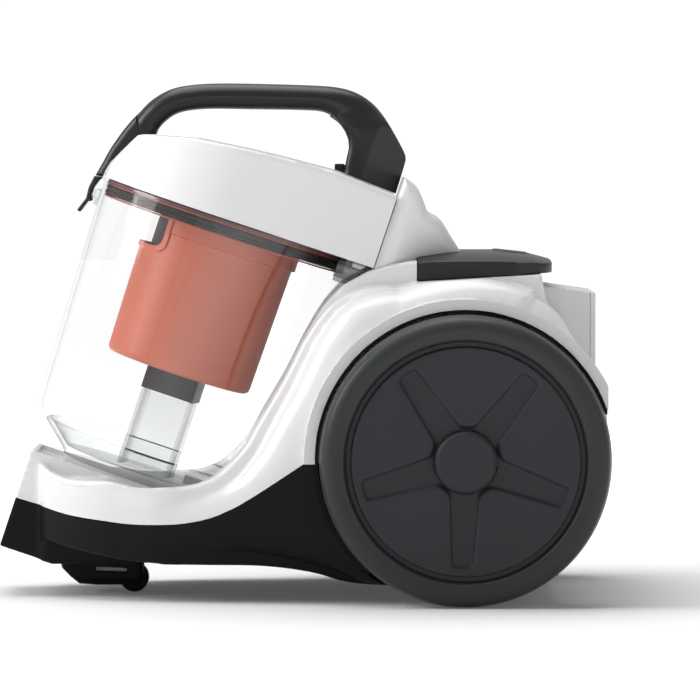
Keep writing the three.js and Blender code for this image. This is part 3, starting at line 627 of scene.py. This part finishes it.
def make_wheel(side, sign):
    place = on_wheel(sign)
    body = f"wheel_{side}"
    face = WHEEL_OUT - 3
    rim = rounded([(67.5, 97, 0), (67.5, face - 3.4, 0), (70.2, face - 3.4, 0.8),
                   (71.6, WHEEL_OUT - 1.4, 1.6), (79, WHEEL_OUT, 9), (84.2, 126.3, 6), (WHEEL_R, 117, 10),
                   (WHEEL_R, 97, 5), (82.5, 92.2, 2), (80, 92.2, 1), (80, 120, 2), (71, 121, 1),
                   (71, 97, 0)], 5)
    finish_piece(lathe(f"{body}_rim", rim, place, 144), body, RIM_PLASTIC, [f"tyre_{side}"])

    def disc_field(x, y, z):
        out = sign * y
        dx, dz = x - WHEEL_X, z - WHEEL_Z
        r = np.hypot(dx, dz)
        made = both(both(r - 67.1, out - face, 0.9), 120.8 - out)
        made = either(made, both(r - 14, both(94 - out, out - 121)))
        made = either(made, both(np.abs(r - 65) - 2, both(112 - out, out - 123)))
        made = without(made, both(star(dx, dz) + (face - out) * 0.55, face - 2.6 - out, 0.6), 1.0)
        made = without(made, both(np.abs(r - 18.6) - 0.4, face - 4 - out), 0.2)
        return without(made, r - 4.1)

    low_y, high_y = sorted((sign * 92, sign * 129))
    low, high = (WHEEL_X - 70, low_y, WHEEL_Z - 70), (WHEEL_X + 70, high_y, WHEEL_Z + 70)
    disc = from_field(f"{body}_disc", disc_field, low, high, CELL_FINE, sharp=math.radians(40))
    finish_piece(disc, body, WHEEL_PLASTIC, [f"wheel_disc_{side}"])
    cap = rounded([(0, 122.8, 0), (17.8, 122.8, 0), (18.1, 129.2, 0.8), (16.6, HUB_OUT - 1.2, 0.6),
                   (15.8, HUB_OUT - 0.9, 0.4), (0, HUB_OUT - 0.5, 0)], 4)
    hub = lathe(f"{body}_cap", cap, place, 96, closed=False)
    finish_piece(hub, body, WHEEL_PLASTIC, [f"hub_cap_{side}"])


def make_well_shade():
    """Black strips in the wheel arches, painted shade for the narrow gap by each tyre, seen as a dark line
    round the tyre from its rear over to its front.
    """
    section = [(86.7, 90), (86.7, 105.5), (88.2, 105.5), (88.2, 90)]
    angles = np.radians(np.linspace(18, 230, 109))
    n = len(section)
    faces = [[0, 1, 2, 3], [len(angles) * n - k for k in (1, 2, 3, 4)]]
    for k in range(len(angles) - 1):
        for i in range(n):
            j = (i + 1) % n
            faces.append([k * n + i, (k + 1) * n + i, (k + 1) * n + j, k * n + j])
    for side, sign in (("near", -1), ("far", 1)):
        place = on_wheel(sign)
        corners = [place(r * math.cos(t), -sign * r * math.sin(t), h) for t in angles for r, h in section]
        order = faces if sign > 0 else [face[::-1] for face in faces]
        shade_strip = new_object(f"well_shade_strip_{side}", np.array(corners) * MM, order)
        finish_piece(shade_strip, "chassis", BLACK)


# ---- Caster ----
FORK = rounded([(-145.8, 26, 2), (-146, 15.2, 4), (-140.2, 9.3, 3), (-135, 5.2, 3), (-124.5, 4.4, 4),
                (-100, 4.4, 4), (-95.2, 11, 4), (-97, 20, 4), (-108, 26.5, 5)], 5)
fork_side = outline_field(FORK, 0.4, 12)


def caster_window(x, z, half_long, half_high, corner):
    """A long window through the caster, a little lower at its rear."""
    return both(np.abs(x + 115.4) - half_long, np.abs(z - 14.1 + (x + 115) * 0.04) - half_high, corner)


def fork_field(x, y, z):
    ay = np.abs(y)
    made = both(fork_side(x, z), ay - 12.4, 5)
    plate = both(np.hypot(x - CASTER_X, y) - 19, np.abs(z - 26.4) - 1.9, 1)
    made = either(made, plate, 2)
    made = either(made, both(np.hypot(x - CASTER_X, y) - 5, both(24 - z, z - 36)))
    slot = both(both(-111.8 - x, ay - 8.1), z - 25)
    made = without(made, slot, 1)
    made = without(made, caster_window(x, z, 9.8, 1.5, 1.2), 0.5)
    return without(made, both(np.hypot(x + 101.8, z - 8.7) - 2.1, ay - 12.1))


def make_caster():
    fork = from_field("caster_boot", fork_field, (-149, -21, 2), (-91, 21, 38), 0.8)
    finish_piece(fork, "caster", BLACK, ["caster_fork"])

    # A light grey bar set in the caster's window: a painted highlight, for the light caught on a ledge of the
    # caster.
    def highlight_bar_field(x, y, z):
        return both(caster_window(x, z, 9.4, 1.2, 1), np.abs(y) - 10.8, 0.4)

    bar = from_field("caster_bar", highlight_bar_field, (-127, -13, 10), (-104, 13, 18), 0.6)
    finish_piece(bar, "caster", CASTER_HIGHLIGHT_GREY)
    low, high = cad("caster_roller")
    cx, cz, half, r = (low[0] + high[0]) / 2, (low[2] + high[2]) / 2, high[1], (high[2] - low[2]) / 2
    tread = rounded([(2.1, -half, 0), (r - 1, -half, 1), (r, -half + 2, 1), (r, half - 2, 1),
                     (r - 1, half, 1), (2.1, half, 0)], 4)
    roller = lathe("caster_tread", tread, lambda a, b, h: (cx + a, h, cz + b), 64)
    finish_piece(roller, "caster_wheel", BLACK, ["caster_roller"])


# ---- Nose ----
def make_socket():
    bezel = rounded([(SOCKET_R, -68.6, 0.8), (SOCKET_R + 3.9, -68.6, 1.4), (SOCKET_R + 3.9, -41.2, 0),
                     (12, -41.2, 0), (12, -43.5, 0), (SOCKET_R - 1, -43.5, 0), (SOCKET_R - 1, -60, 0.5),
                     (SOCKET_R, -61, 0.5)], 4)
    socket = lathe("hose_bezel", bezel, lambda a, b, h: level(h, b, SOCKET_H + a), 80)
    finish_piece(socket, "chassis", BLACK, ["hose_socket"])


# ---- Dust cup ----
def cup_piece(name, profile, material, nodes=(), steps=128, closed=True, body="dust_cup"):
    return finish_piece(lathe(name, profile, level, steps, closed), body, material, nodes)


def make_cup():
    wall = rounded([(CUP_R_TOP - 2.6, -0.4, 0), (CUP_R_TOP, -0.4, 0.5), (CUP_R_TOP, -2.6, 0.4),
                    (CUP_R_TOP - 0.7, -3.2, 0.4), (CUP_R_LOW, -143.5, 2.5), (73.4, -147, 2),
                    (67.9, -149.2, 0.4), (66.6, -147.2, 0.4), (71.4, -145, 1),
                    (CUP_R_LOW - 2.4, -142.6, 2)], 4)
    cup_piece("cup_wall", wall, CLEAR, ["cup_shell"], 160)
    door = rounded([(0, -166.8, 0), (50, -166.8, 1.5), (52, -163.5, 1), (67.3, -149.9, 0.6),
                    (65.2, -147.8, 0.6), (50, -161.4, 2), (0, -161.8, 0)], 4)
    cup_piece("cup_door_bowl", door, CLEAR_TUBE, ["cup_door"], 160, closed=False)
    hook = from_field("cup_hook", hook_field, (-86, -11, -19), (-74, 11, -5), 0.6, place=level)
    finish_piece(hook, "dust_cup", CLEAR_THICK)
    bracket = from_field("hinge_bracket", bracket_field, (70, -64, -20), (95, 64, 2), 1.1, place=level)
    finish_piece(bracket, "dust_cup", SMOKE)


def hook_field(u, y, h):
    ay = np.abs(y)
    tab = both(both(-81.8 - u, u + 78.6), both(ay - 8, np.abs(h + 11.5) - 2.6, 0.8), 0.6)
    rib = both(both(-80.6 - u, u + 78.4), both(np.abs(ay - 6.5) - 0.8, np.abs(h + 13) - 5, 0.6), 0.4)
    return either(tab, rib, 0.6)


def bracket_field(u, y, h):
    ay = np.abs(y)
    r = np.hypot(u, y)
    plate = both(both(80 - r, u - 91.6), both(ay - 60, np.abs(h + 3.4) - 2.2, 0.5), 0.6)
    lugs = both(both(81 - r, u - 91), both(np.abs(ay - 52) - 8, np.abs(h + 8.5) - 6, 1), 0.8)
    barrel = both(np.hypot(u - 84.5, h + 9.8) - 4.4, np.abs(ay - 48) - 11, 0.6)
    notch = both(both(np.abs(u - 88.4) - 1.6, -11 - h), h + 5)
    return without(either(either(plate, lugs, 1), barrel, 1), notch, 0.4)


COLUMN_TURN = math.radians(82)


def square(half, radius, height, steps=6):
    """A ring of corners of a square tube, turned as the column under the cyclone is."""
    outline = rounded([(a * half, b * half, radius) for a, b in ((-1, -1), (1, -1), (1, 1), (-1, 1))], steps)
    cos, sin = math.cos(COLUMN_TURN), math.sin(COLUMN_TURN)
    return [(a * cos - b * sin, a * sin + b * cos, height) for a, b in outline]


def square_tube(name, rings, material, nodes):
    """A tube through rings of corners, closed on itself."""
    n = len(rings[0])
    corners = np.array([level(*corner) for one in rings for corner in one]) * MM
    faces = []
    for k in range(len(rings)):
        after = (k + 1) % len(rings)
        for i in range(n):
            j = (i + 1) % n
            faces.append([k * n + i, k * n + j, after * n + j, after * n + i])
    finish_piece(new_object(name, corners, faces), "dust_cup", material, nodes)


def shroud_field(u, y, h):
    r = np.hypot(u, y)
    outer = np.interp(h, [-98.5, -19.5, -18.8, -10], [44.9, 46.4, 48.4, 48.4])
    made = both(both(r - outer, h + 10, 0.8), -98.5 - h, 4)
    made = without(made, both(r - outer + 2.6, -95.8 - h, 2), 0.6)
    made = without(made, both(r - 15, h + 90))
    notch = both(u + 31.5, -31 - h, 6.5)
    made = without(made, notch, 0.6)
    lip = both(both(np.abs(notch) - 1.5, both(r - outer - 1.1, outer - 2.4 - r, 0.4), 0.6), h + 10)
    return either(made, lip, 0.5)


def make_cyclone():
    shroud = from_field("cyclone_drum", shroud_field, (-52, -52, -102), (52, 52, -7), CELL_FINE, place=level)
    finish_piece(shroud, "dust_cup", ORANGE, ["cyclone_shroud"])
    inner = rounded([(37.6, -88, 0), (40, -88, 0.6), (40, -9.8, 0), (37.6, -9.8, 0)])
    cup_piece("cyclone_inner", inner, INNER_GREY, ["cyclone_core"])
    plate = rounded([(30, -9.4, 0), (69.4, -9.4, 0.5), (69.4, -5.6, 0.5), (30, -5.6, 0)])
    cup_piece("cyclone_plate", plate, INNER_GREY, ["cyclone_flange"])
    seal = rounded([(70.1, -9.3, 0), (75.8, -9.3, 1), (76.1, -7.4, 0.8), (75.4, -6.4, 0.5),
                    (76.1, -5.2, 0.8), (75.8, -3.5, 1), (70.1, -3.5, 0)])
    cup_piece("rim_gasket", seal, SEAL, ["rim_seal"], 160)
    upper_band = rounded([(72, -2.5, 0), (76.2, -2.5, 0.3), (76.2, -0.5, 0.3), (72, -0.5, 0)])
    cup_piece("rim_band_upper", upper_band, RED_BROWN, (), 160)
    upper_line = rounded([(72, -3.3, 0), (76.5, -3.3, 0.3), (76.5, -2.6, 0.3), (72, -2.6, 0)])
    cup_piece("rim_line_upper", upper_line, ORANGE_LINE, (), 160)
    lower_line = rounded([(72, -10.6, 0), (76, -10.6, 0.3), (76, -9.7, 0.3), (72, -9.7, 0)])
    cup_piece("rim_line_lower", lower_line, ORANGE_LINE, (), 160)
    half = 16.4
    collar = [square(half, 2.5, -113.2), square(half, 2.5, -99.2),
              square(half - 2.4, 1.5, -99.2), square(half - 2.4, 1.5, -113.2)]
    square_tube("cyclone_neck", collar, GRAPHITE, ["cyclone_collar"])
    half = 15.7
    column = [square(half + 0.2, 2, -161.2), square(half, 2, -114),
              square(half - 1.9, 1, -114), square(half - 1.7, 1, -161.2)]
    square_tube("dust_column", column, CLEAR_TUBE, ["fine_dust_tube"])


# ---- Lid ----
LID_SIDE = rounded([(-80.2, -2, 0), (-80.2, 1, 3), (-78.4, 9.4, 4), (-66.4, 30.7, 2.5), (-57.1, 33.7, 6),
                    (-32.4, 40, 30), (-1, 43.6, 30), (17.4, 45.3, 30), (52.2, 47.6, 60), (94, 45.2, 0),
                    (94, -2, 0)], 5)
lid_side = outline_field(LID_SIDE, 0.6, 16)


def lid_outer(u, y, h, shrink=0.0):
    top = both(lid_side(u, h) + shrink, lid_plan(u, y) + shrink, 3.5)
    return both(top, u - SEAM_U + shrink)


def lid_field(u, y, h):
    made = both(lid_outer(u, y, h), 0.2 - h, 0.6)
    hollow = lid_outer(u, y, h, 3)
    made = without(made, hollow, 0.4)
    outlet = both(both(np.abs(h - 24) - 10, np.abs(y) - 28, 4), 80 - u)
    return without(made, outlet, 0.6)


def make_lid():
    lid = from_field("lid_cap", lid_field, (-84, -84, -3), (96, 84, 54), CELL_MIDDLE, place=level)
    finish_piece(lid, "lid", WHITE, ["lid_shell"])
    foam = rounded([(0, 4, 0), (61.5, 4, 2.5), (62.3, 11, 3), (61.5, 18, 2.5), (0, 18, 0)], 5)
    sponge = cup_piece("filter_sponge", foam, FOAM, ["foam_filter"], 96, False, "lid")


# ---- Handle, lid catch and release trigger ----
GRIP_OUTER = [(-125, 252.6), (-121.2, 259), (-115, 269.8), (-106.4, 281.6), (-98.3, 290.5), (-90.7, 298),
              (-80.1, 304.1), (-68, 306.9), (-50, 308), (-20, 307.6), (10, 306.6), (22.9, 305.3),
              (32.6, 302.4), (41.1, 297.2), (47.8, 290.2), (54.5, 279.8), (61.1, 267.7), (62.6, 262.9),
              (61.7, 258), (55, 236)]
GRIP_INNER = [(16, 246), (24.8, 253.8), (26, 258.6), (27.2, 264.1), (28.4, 270.2), (27.8, 276.2),
              (24.8, 281.7), (19.3, 287.1), (12, 290.8), (-1.3, 291.8), (-30, 292.3), (-54.6, 292.6),
              (-68, 291.6), (-76, 289.5), (-81.6, 285.9), (-86.1, 281.4), (-88, 277.6), (-92, 268),
              (-103, 258), (-120.6, 251.4)]
handle_side = outline_field(np.vstack([spline(GRIP_OUTER, 5), spline(GRIP_INNER, 5)]), 0.5, 16)
FACET = (41.1, 242.3)
TRIGGER_Y = 8.0
TRIGGER_TRAVEL = 3.4 * np.array(JOINTS["trigger_press"]["axis"])


def handle_field(x, y, z):
    ay = np.abs(y)
    u, h = leaning(x, z)
    side = handle_side(x, z)
    width = np.interp(x, [-126, -112, -96, -80, 10, 40, 60], [9.5, 11, 14, 15, 15, 16.5, 17])
    made = both(side, ay - width, 11)
    front = both(both(side, ay - width + 0.5, 5), x + 100)
    made = either(made, front, 2)
    foot = both(both(side, ay - 17, 10), both(24 - x, z - 284), 6)
    made = both(either(made, foot, 8), side)
    facet = (ay - 15.4 + ((x - FACET[0]) * 0.942 - (z - FACET[1]) * 0.336) * 0.42) * 0.92
    made = both(made, facet)
    stop = both(both(np.abs(x - 22.6) - 2.9, ay - 6, 1), z - 259.4, 1)
    made = either(made, both(stop, 245 - z))
    made = without(made, both(lid_side(u, h) - 0.35, lid_plan(u, y) - 0.35))
    pressed = trigger_side(x - TRIGGER_TRAVEL[0], z - TRIGGER_TRAVEL[2])
    pocket = both(either(trigger_side(x, z), pressed) - 1.2, ay - TRIGGER_Y - 0.4)
    return without(made, pocket, 0.3)


LEVER = rounded([(-120.4, 251.1, 0.3), (-122.4, 249.6, 2), (-125.6, 245.4, 4), (-127.2, 240.6, 2),
                 (-126.9, 237, 0.6), (-129.3, 236.8, 1.5), (-134.2, 230.3, 0.8), (-136.3, 231.4, 0.8),
                 (-130.6, 238.8, 5), (-129, 245.4, 8), (-125.5, 252.2, 0.3)], 5)
lever_side = outline_field(LEVER, 0.3, 10)
TRIGGER_INNER = [(29, 270), (28.6, 274), (26.4, 279.6), (22.6, 284.6), (17.6, 288.4)]
TRIGGER_OUTER = [(20, 292.4), (27, 288), (32.6, 280), (33.4, 270)]
trigger_side = outline_field(np.vstack([spline(TRIGGER_INNER, 5), TRIGGER_OUTER]), 0.3, 10)


def make_handle():
    handle = from_field("carry_handle", handle_field, (-128, -20, 236), (67, 20, 312), CELL_FINE,
                        sharp=math.radians(38))
    finish_piece(handle, "lid", HANDLE_BLACK, ["handle"])

    def lever_field(x, y, z):
        return both(lever_side(x, z), np.abs(y) - 9, 1.6)

    def trigger_field(x, y, z):
        return both(trigger_side(x, z) - 0.8, np.abs(y) - TRIGGER_Y, 2)

    lever = from_field("catch_lever", lever_field, (-138, -11, 228), (-119, 11, 256), 0.55)
    finish_piece(lever, "latch", HANDLE_BLACK, ["lid_latch"])
    trigger = from_field("trigger_pad", trigger_field, (14, -13, 266), (38, 13, 296), 0.6)
    finish_piece(trigger, "trigger", TRIGGER_BLACK, ["release_trigger"])


# ---- Materials ----
def nodes_of(name):
    material = bpy.data.materials.new(name)
    material.use_nodes = True
    tree = material.node_tree
    return material, tree, tree.nodes["Principled BSDF"]


def noise(tree, scale, detail=3.0):
    place = tree.nodes.new("ShaderNodeTexCoord")
    texture = tree.nodes.new("ShaderNodeTexNoise")
    texture.inputs["Scale"].default_value = scale
    texture.inputs["Detail"].default_value = detail
    tree.links.new(place.outputs["Object"], texture.inputs["Vector"])
    return texture


def spread(tree, source, low, high):
    """A texture's value laid out between two limits."""
    node = tree.nodes.new("ShaderNodeMapRange")
    node.inputs["From Min"].default_value = 0.3
    node.inputs["From Max"].default_value = 0.7
    node.inputs["To Min"].default_value = low
    node.inputs["To Max"].default_value = high
    tree.links.new(source, node.inputs["Value"])
    return node.outputs["Result"]


def plastic(name, colour, roughness, grain=900, bump=0.02, variation=0.03, coat=0.0, specular=0.5):
    """Moulded plastic: a fine grain in its surface, with slight drifts of shade and gloss."""
    material, tree, shader = nodes_of(name)
    shader.inputs["Specular IOR Level"].default_value = specular
    shader.inputs["Coat Weight"].default_value = coat
    shader.inputs["Coat Roughness"].default_value = 0.08
    drift = noise(tree, 14, 2)
    ramp = tree.nodes.new("ShaderNodeValToRGB")
    for element, shade in zip(ramp.color_ramp.elements, (1 - variation, 1 + variation)):
        element.color = (*(min(c * shade, 1) for c in colour), 1)
    tree.links.new(drift.outputs["Fac"], ramp.inputs["Fac"])
    tree.links.new(ramp.outputs["Color"], shader.inputs["Base Color"])
    fine = noise(tree, grain, 4)
    gloss = spread(tree, fine.outputs["Fac"], roughness * 0.88, roughness * 1.12)
    tree.links.new(gloss, shader.inputs["Roughness"])
    relief = tree.nodes.new("ShaderNodeBump")
    relief.inputs["Strength"].default_value = bump
    relief.inputs["Distance"].default_value = 0.0005
    tree.links.new(fine.outputs["Fac"], relief.inputs["Height"])
    tree.links.new(relief.outputs["Normal"], shader.inputs["Normal"])
    return material


def clear(name, face, edge, shine=0.035, gloss=0.04):
    """Clear moulded plastic: light passes straight through, with more tint and gloss at its edges."""
    material, tree, shader = nodes_of(name)
    tree.nodes.remove(shader)
    through = tree.nodes.new("ShaderNodeBsdfTransparent")
    mirror = tree.nodes.new("ShaderNodeBsdfGlossy")
    weight = tree.nodes.new("ShaderNodeLayerWeight")
    weight.inputs["Blend"].default_value = 0.5
    ramp = tree.nodes.new("ShaderNodeValToRGB")
    ramp.color_ramp.elements[0].position = 0.7
    ramp.color_ramp.elements[0].color = (*face, 1)
    ramp.color_ramp.elements[1].color = (*edge, 1)
    tree.links.new(weight.outputs["Facing"], ramp.inputs["Fac"])
    tree.links.new(ramp.outputs["Color"], through.inputs["Color"])
    marks = noise(tree, 60, 2)
    tree.links.new(spread(tree, marks.outputs["Fac"], gloss, gloss * 2.2), mirror.inputs["Roughness"])
    steep = tree.nodes.new("ShaderNodeMath")
    steep.operation = "POWER"
    steep.inputs[1].default_value = 5
    tree.links.new(weight.outputs["Facing"], steep.inputs[0])
    amount = tree.nodes.new("ShaderNodeMapRange")
    amount.inputs["To Min"].default_value = shine
    amount.inputs["To Max"].default_value = 0.22
    tree.links.new(steep.outputs["Value"], amount.inputs["Value"])
    mix = tree.nodes.new("ShaderNodeMixShader")
    tree.links.new(amount.outputs["Result"], mix.inputs["Fac"])
    tree.links.new(through.outputs["BSDF"], mix.inputs[1])
    tree.links.new(mirror.outputs["BSDF"], mix.inputs[2])
    tree.links.new(mix.outputs["Shader"], tree.nodes["Material Output"].inputs["Surface"])
    return material


def metal(name, colour, roughness):
    material = plastic(name, colour, roughness, 400, 0.03, 0.05)
    material.node_tree.nodes["Principled BSDF"].inputs["Metallic"].default_value = 1.0
    return material


WHITE = plastic("gloss_white", (0.86, 0.86, 0.858), 0.24, 700, 0.01, 0.008, coat=0.2)
BLACK = plastic("satin_black", (0.006, 0.006, 0.0068), 0.45, 1400, 0.05, 0.06, specular=0.12)
HANDLE_BLACK = plastic("handle_black", (0.009, 0.009, 0.0095), 0.32, 1600, 0.05, 0.06, specular=0.4)
TRIGGER_BLACK = plastic("gloss_black", (0.01, 0.009, 0.009), 0.1, 900, 0.01, 0.04, specular=0.6)
PANEL_BLACK = plastic("panel_black", (0.016, 0.016, 0.017), 0.36, 1200, 0.03, 0.05, specular=0.3)
KEY_BLACK = plastic("key_black", (0.02, 0.02, 0.021), 0.4, 1200, 0.03, 0.05, specular=0.3)
GRAPHITE = plastic("graphite", (0.02, 0.018, 0.0185), 0.45, 1200, 0.04, 0.05, specular=0.25)
RIM_PLASTIC = plastic("rim_charcoal", (0.029, 0.032, 0.0345), 0.42, 1500, 0.08, 0.06, specular=0.3)
WHEEL_PLASTIC = plastic("wheel_charcoal", (0.03, 0.032, 0.036), 0.45, 1500, 0.06, 0.06, specular=0.25)
GREY = plastic("light_grey", (0.78, 0.78, 0.78), 0.4, 1000, 0.03, 0.03)
GREY_LIGHT = plastic("pale_grey", (0.82, 0.82, 0.82), 0.4, 1000, 0.03, 0.03)
ORANGE = plastic("coral", (0.62, 0.155, 0.09), 0.42, 400, 0.004, 0.03)
ORANGE_LINE = plastic("coral_line", (0.4, 0.1, 0.08), 0.35, 1000, 0.03, 0.05)
RED_BROWN = plastic("red_brown", (0.13, 0.055, 0.05), 0.4, 1000, 0.03, 0.06)
INNER_GREY = plastic("inner_grey", (0.075, 0.052, 0.05), 0.45, 1000, 0.04, 0.05)
# Light grey of the caster's bar, a painted highlight.
CASTER_HIGHLIGHT_GREY = plastic("mid_grey", (0.3, 0.3, 0.3), 0.4, 1000, 0.03, 0.03)
SEAL = plastic("dark_seal", (0.028, 0.026, 0.024), 0.6, 1800, 0.15, 0.1, specular=0.25)
FOAM = plastic("open_foam", (0.07, 0.075, 0.08), 0.95, 260, 1.0, 0.25)
PAPER = plastic("filter_paper", (0.75, 0.72, 0.64), 0.9, 300, 0.5, 0.08)
BOARD = plastic("circuit_green", (0.03, 0.16, 0.07), 0.5, 500, 0.2, 0.2)
STEEL = metal("plain_steel", (0.6, 0.61, 0.63), 0.3)
CLEAR = clear("clear_wall", (0.99, 0.99, 0.99), (0.9, 0.905, 0.905))
CLEAR_TUBE = clear("clear_tube", (0.93, 0.935, 0.935), (0.5, 0.51, 0.51))
CLEAR_THICK = clear("clear_solid", (0.9, 0.91, 0.91), (0.5, 0.51, 0.52))
SMOKE = clear("smoked_clear", (0.6, 0.6, 0.6), (0.25, 0.25, 0.25), 0.08, 0.08)


def finish_cad_nodes():
    """Pieces inside the housing keep their CAD shape and get a material each."""
    looks = {
        "steel": ["axle_near", "axle_far", "motor_can", "motor_rotor",
                  *(f"base_screw_{i}" for i in range(1, 5))],
        "black": ["caster_axle", "caster_socket", "intake_duct", "motor_duct", "cord_drum",
                  "rewind_spring_case", "vortex_finder"],
        "seal": ["inlet_seal", "motor_mount_front", "motor_mount_rear", "cord_bush"],
        "grey": ["reel_bracket", "door_latch", "filter_tray"],
        "board": ["circuit_board"],
        "paper": ["exhaust_filter"],
    }
    materials = {"steel": STEEL, "black": BLACK, "seal": SEAL, "grey": GREY, "board": BOARD, "paper": PAPER}
    for look, names in looks.items():
        for name in names:
            data = frame["nodes"][name].data
            data.materials.clear()
            data.materials.append(materials[look])


# ---- Stage, light and camera ----
FILL = 0.15
REFLECTED = 0.45  # share of the white backdrop that reflections show


def floor_material():
    """A white floor that glows, a painted light: the glow is weak near the object so that shadows show there,
    and grows to fade into the white backdrop far from it.
    """
    material, tree, shader = nodes_of("floor_white")
    shader.inputs["Base Color"].default_value = (0.9, 0.9, 0.9, 1)
    shader.inputs["Roughness"].default_value = 0.9
    shader.inputs["Emission Color"].default_value = (1, 1, 1, 1)
    place = tree.nodes.new("ShaderNodeTexCoord")
    reach = tree.nodes.new("ShaderNodeVectorMath")
    reach.operation = "LENGTH"
    tree.links.new(place.outputs["Object"], reach.inputs[0])
    glow = tree.nodes.new("ShaderNodeMapRange")
    glow.inputs["From Min"].default_value = 0.2
    glow.inputs["From Max"].default_value = 1.0
    glow.inputs["To Min"].default_value = 0.07
    glow.inputs["To Max"].default_value = 0.95
    tree.links.new(reach.outputs["Value"], glow.inputs["Value"])
    tree.links.new(glow.outputs["Result"], shader.inputs["Emission Strength"])
    return material


def plane(name, corners, material):
    obj = new_object(name, corners, [(0, 1, 2, 3)])
    obj.data.materials.append(material)
    return obj


def area_light(name, place, target, size, power):
    data = bpy.data.lights.new(name, "AREA")
    data.shape = "RECTANGLE"
    data.size, data.size_y = size
    data.energy = power
    light = bpy.data.objects.new(name, data)
    light.location = place
    light.rotation_euler = (Vector(target) - Vector(place)).to_track_quat("-Z", "Y").to_euler()
    bpy.context.scene.collection.objects.link(light)


def make_stage():
    floor = floor_material()
    plane("floor", [(-9, -9, 0), (9, -9, 0), (9, 9, 0), (-9, 9, 0)], floor)
    world = bpy.data.worlds.new("studio")
    world.use_nodes = True
    tree = world.node_tree
    fill = tree.nodes["Background"]
    fill.inputs["Color"].default_value = (0.97, 0.98, 1, 1)
    fill.inputs["Strength"].default_value = FILL
    backdrop = tree.nodes.new("ShaderNodeBackground")
    backdrop.inputs["Color"].default_value = (1, 1, 1, 1)
    backdrop.inputs["Strength"].default_value = 1.05
    seen = tree.nodes.new("ShaderNodeLightPath")
    share = tree.nodes.new("ShaderNodeMath")
    share.operation = "MULTIPLY_ADD"
    share.inputs[1].default_value = REFLECTED
    tree.links.new(seen.outputs["Is Glossy Ray"], share.inputs[0])
    tree.links.new(seen.outputs["Is Camera Ray"], share.inputs[2])
    mix = tree.nodes.new("ShaderNodeMixShader")
    tree.links.new(share.outputs["Value"], mix.inputs["Fac"])
    tree.links.new(fill.outputs["Background"], mix.inputs[1])
    tree.links.new(backdrop.outputs["Background"], mix.inputs[2])
    tree.links.new(mix.outputs["Shader"], tree.nodes["World Output"].inputs["Surface"])
    scene = bpy.context.scene
    scene.world = world
    scene.view_settings.view_transform = "Standard"
    middle = (0.0, 0.0, 0.13)
    area_light("top", (-0.25, 0.2, 1.7), middle, (1.6, 1.4), 22)
    area_light("left", (-1.5, -0.25, 1.0), middle, (0.8, 1.0), 17)
    area_light("right", (1.5, -1.3, 0.7), middle, (1.4, 1.4), 3)


def make_camera():
    data = bpy.data.cameras.new("view")
    data.lens = 280
    data.sensor_width = 36
    camera = bpy.data.objects.new("view", data)
    camera.location = (0.029, -3.3, 0.275)
    aim = Vector((0.029, 0, 0.1465)) - camera.location
    camera.rotation_euler = aim.to_track_quat("-Z", "Y").to_euler()
    bpy.context.scene.collection.objects.link(camera)
    bpy.context.scene.camera = camera


make_camera()
make_stage()
make_housing()
make_tower()
make_panel()
make_exhaust()
make_wheel("near", -1)
make_wheel("far", 1)
make_well_shade()
make_caster()
make_socket()
make_cup()
make_cyclone()
make_lid()
make_handle()
finish_cad_nodes()
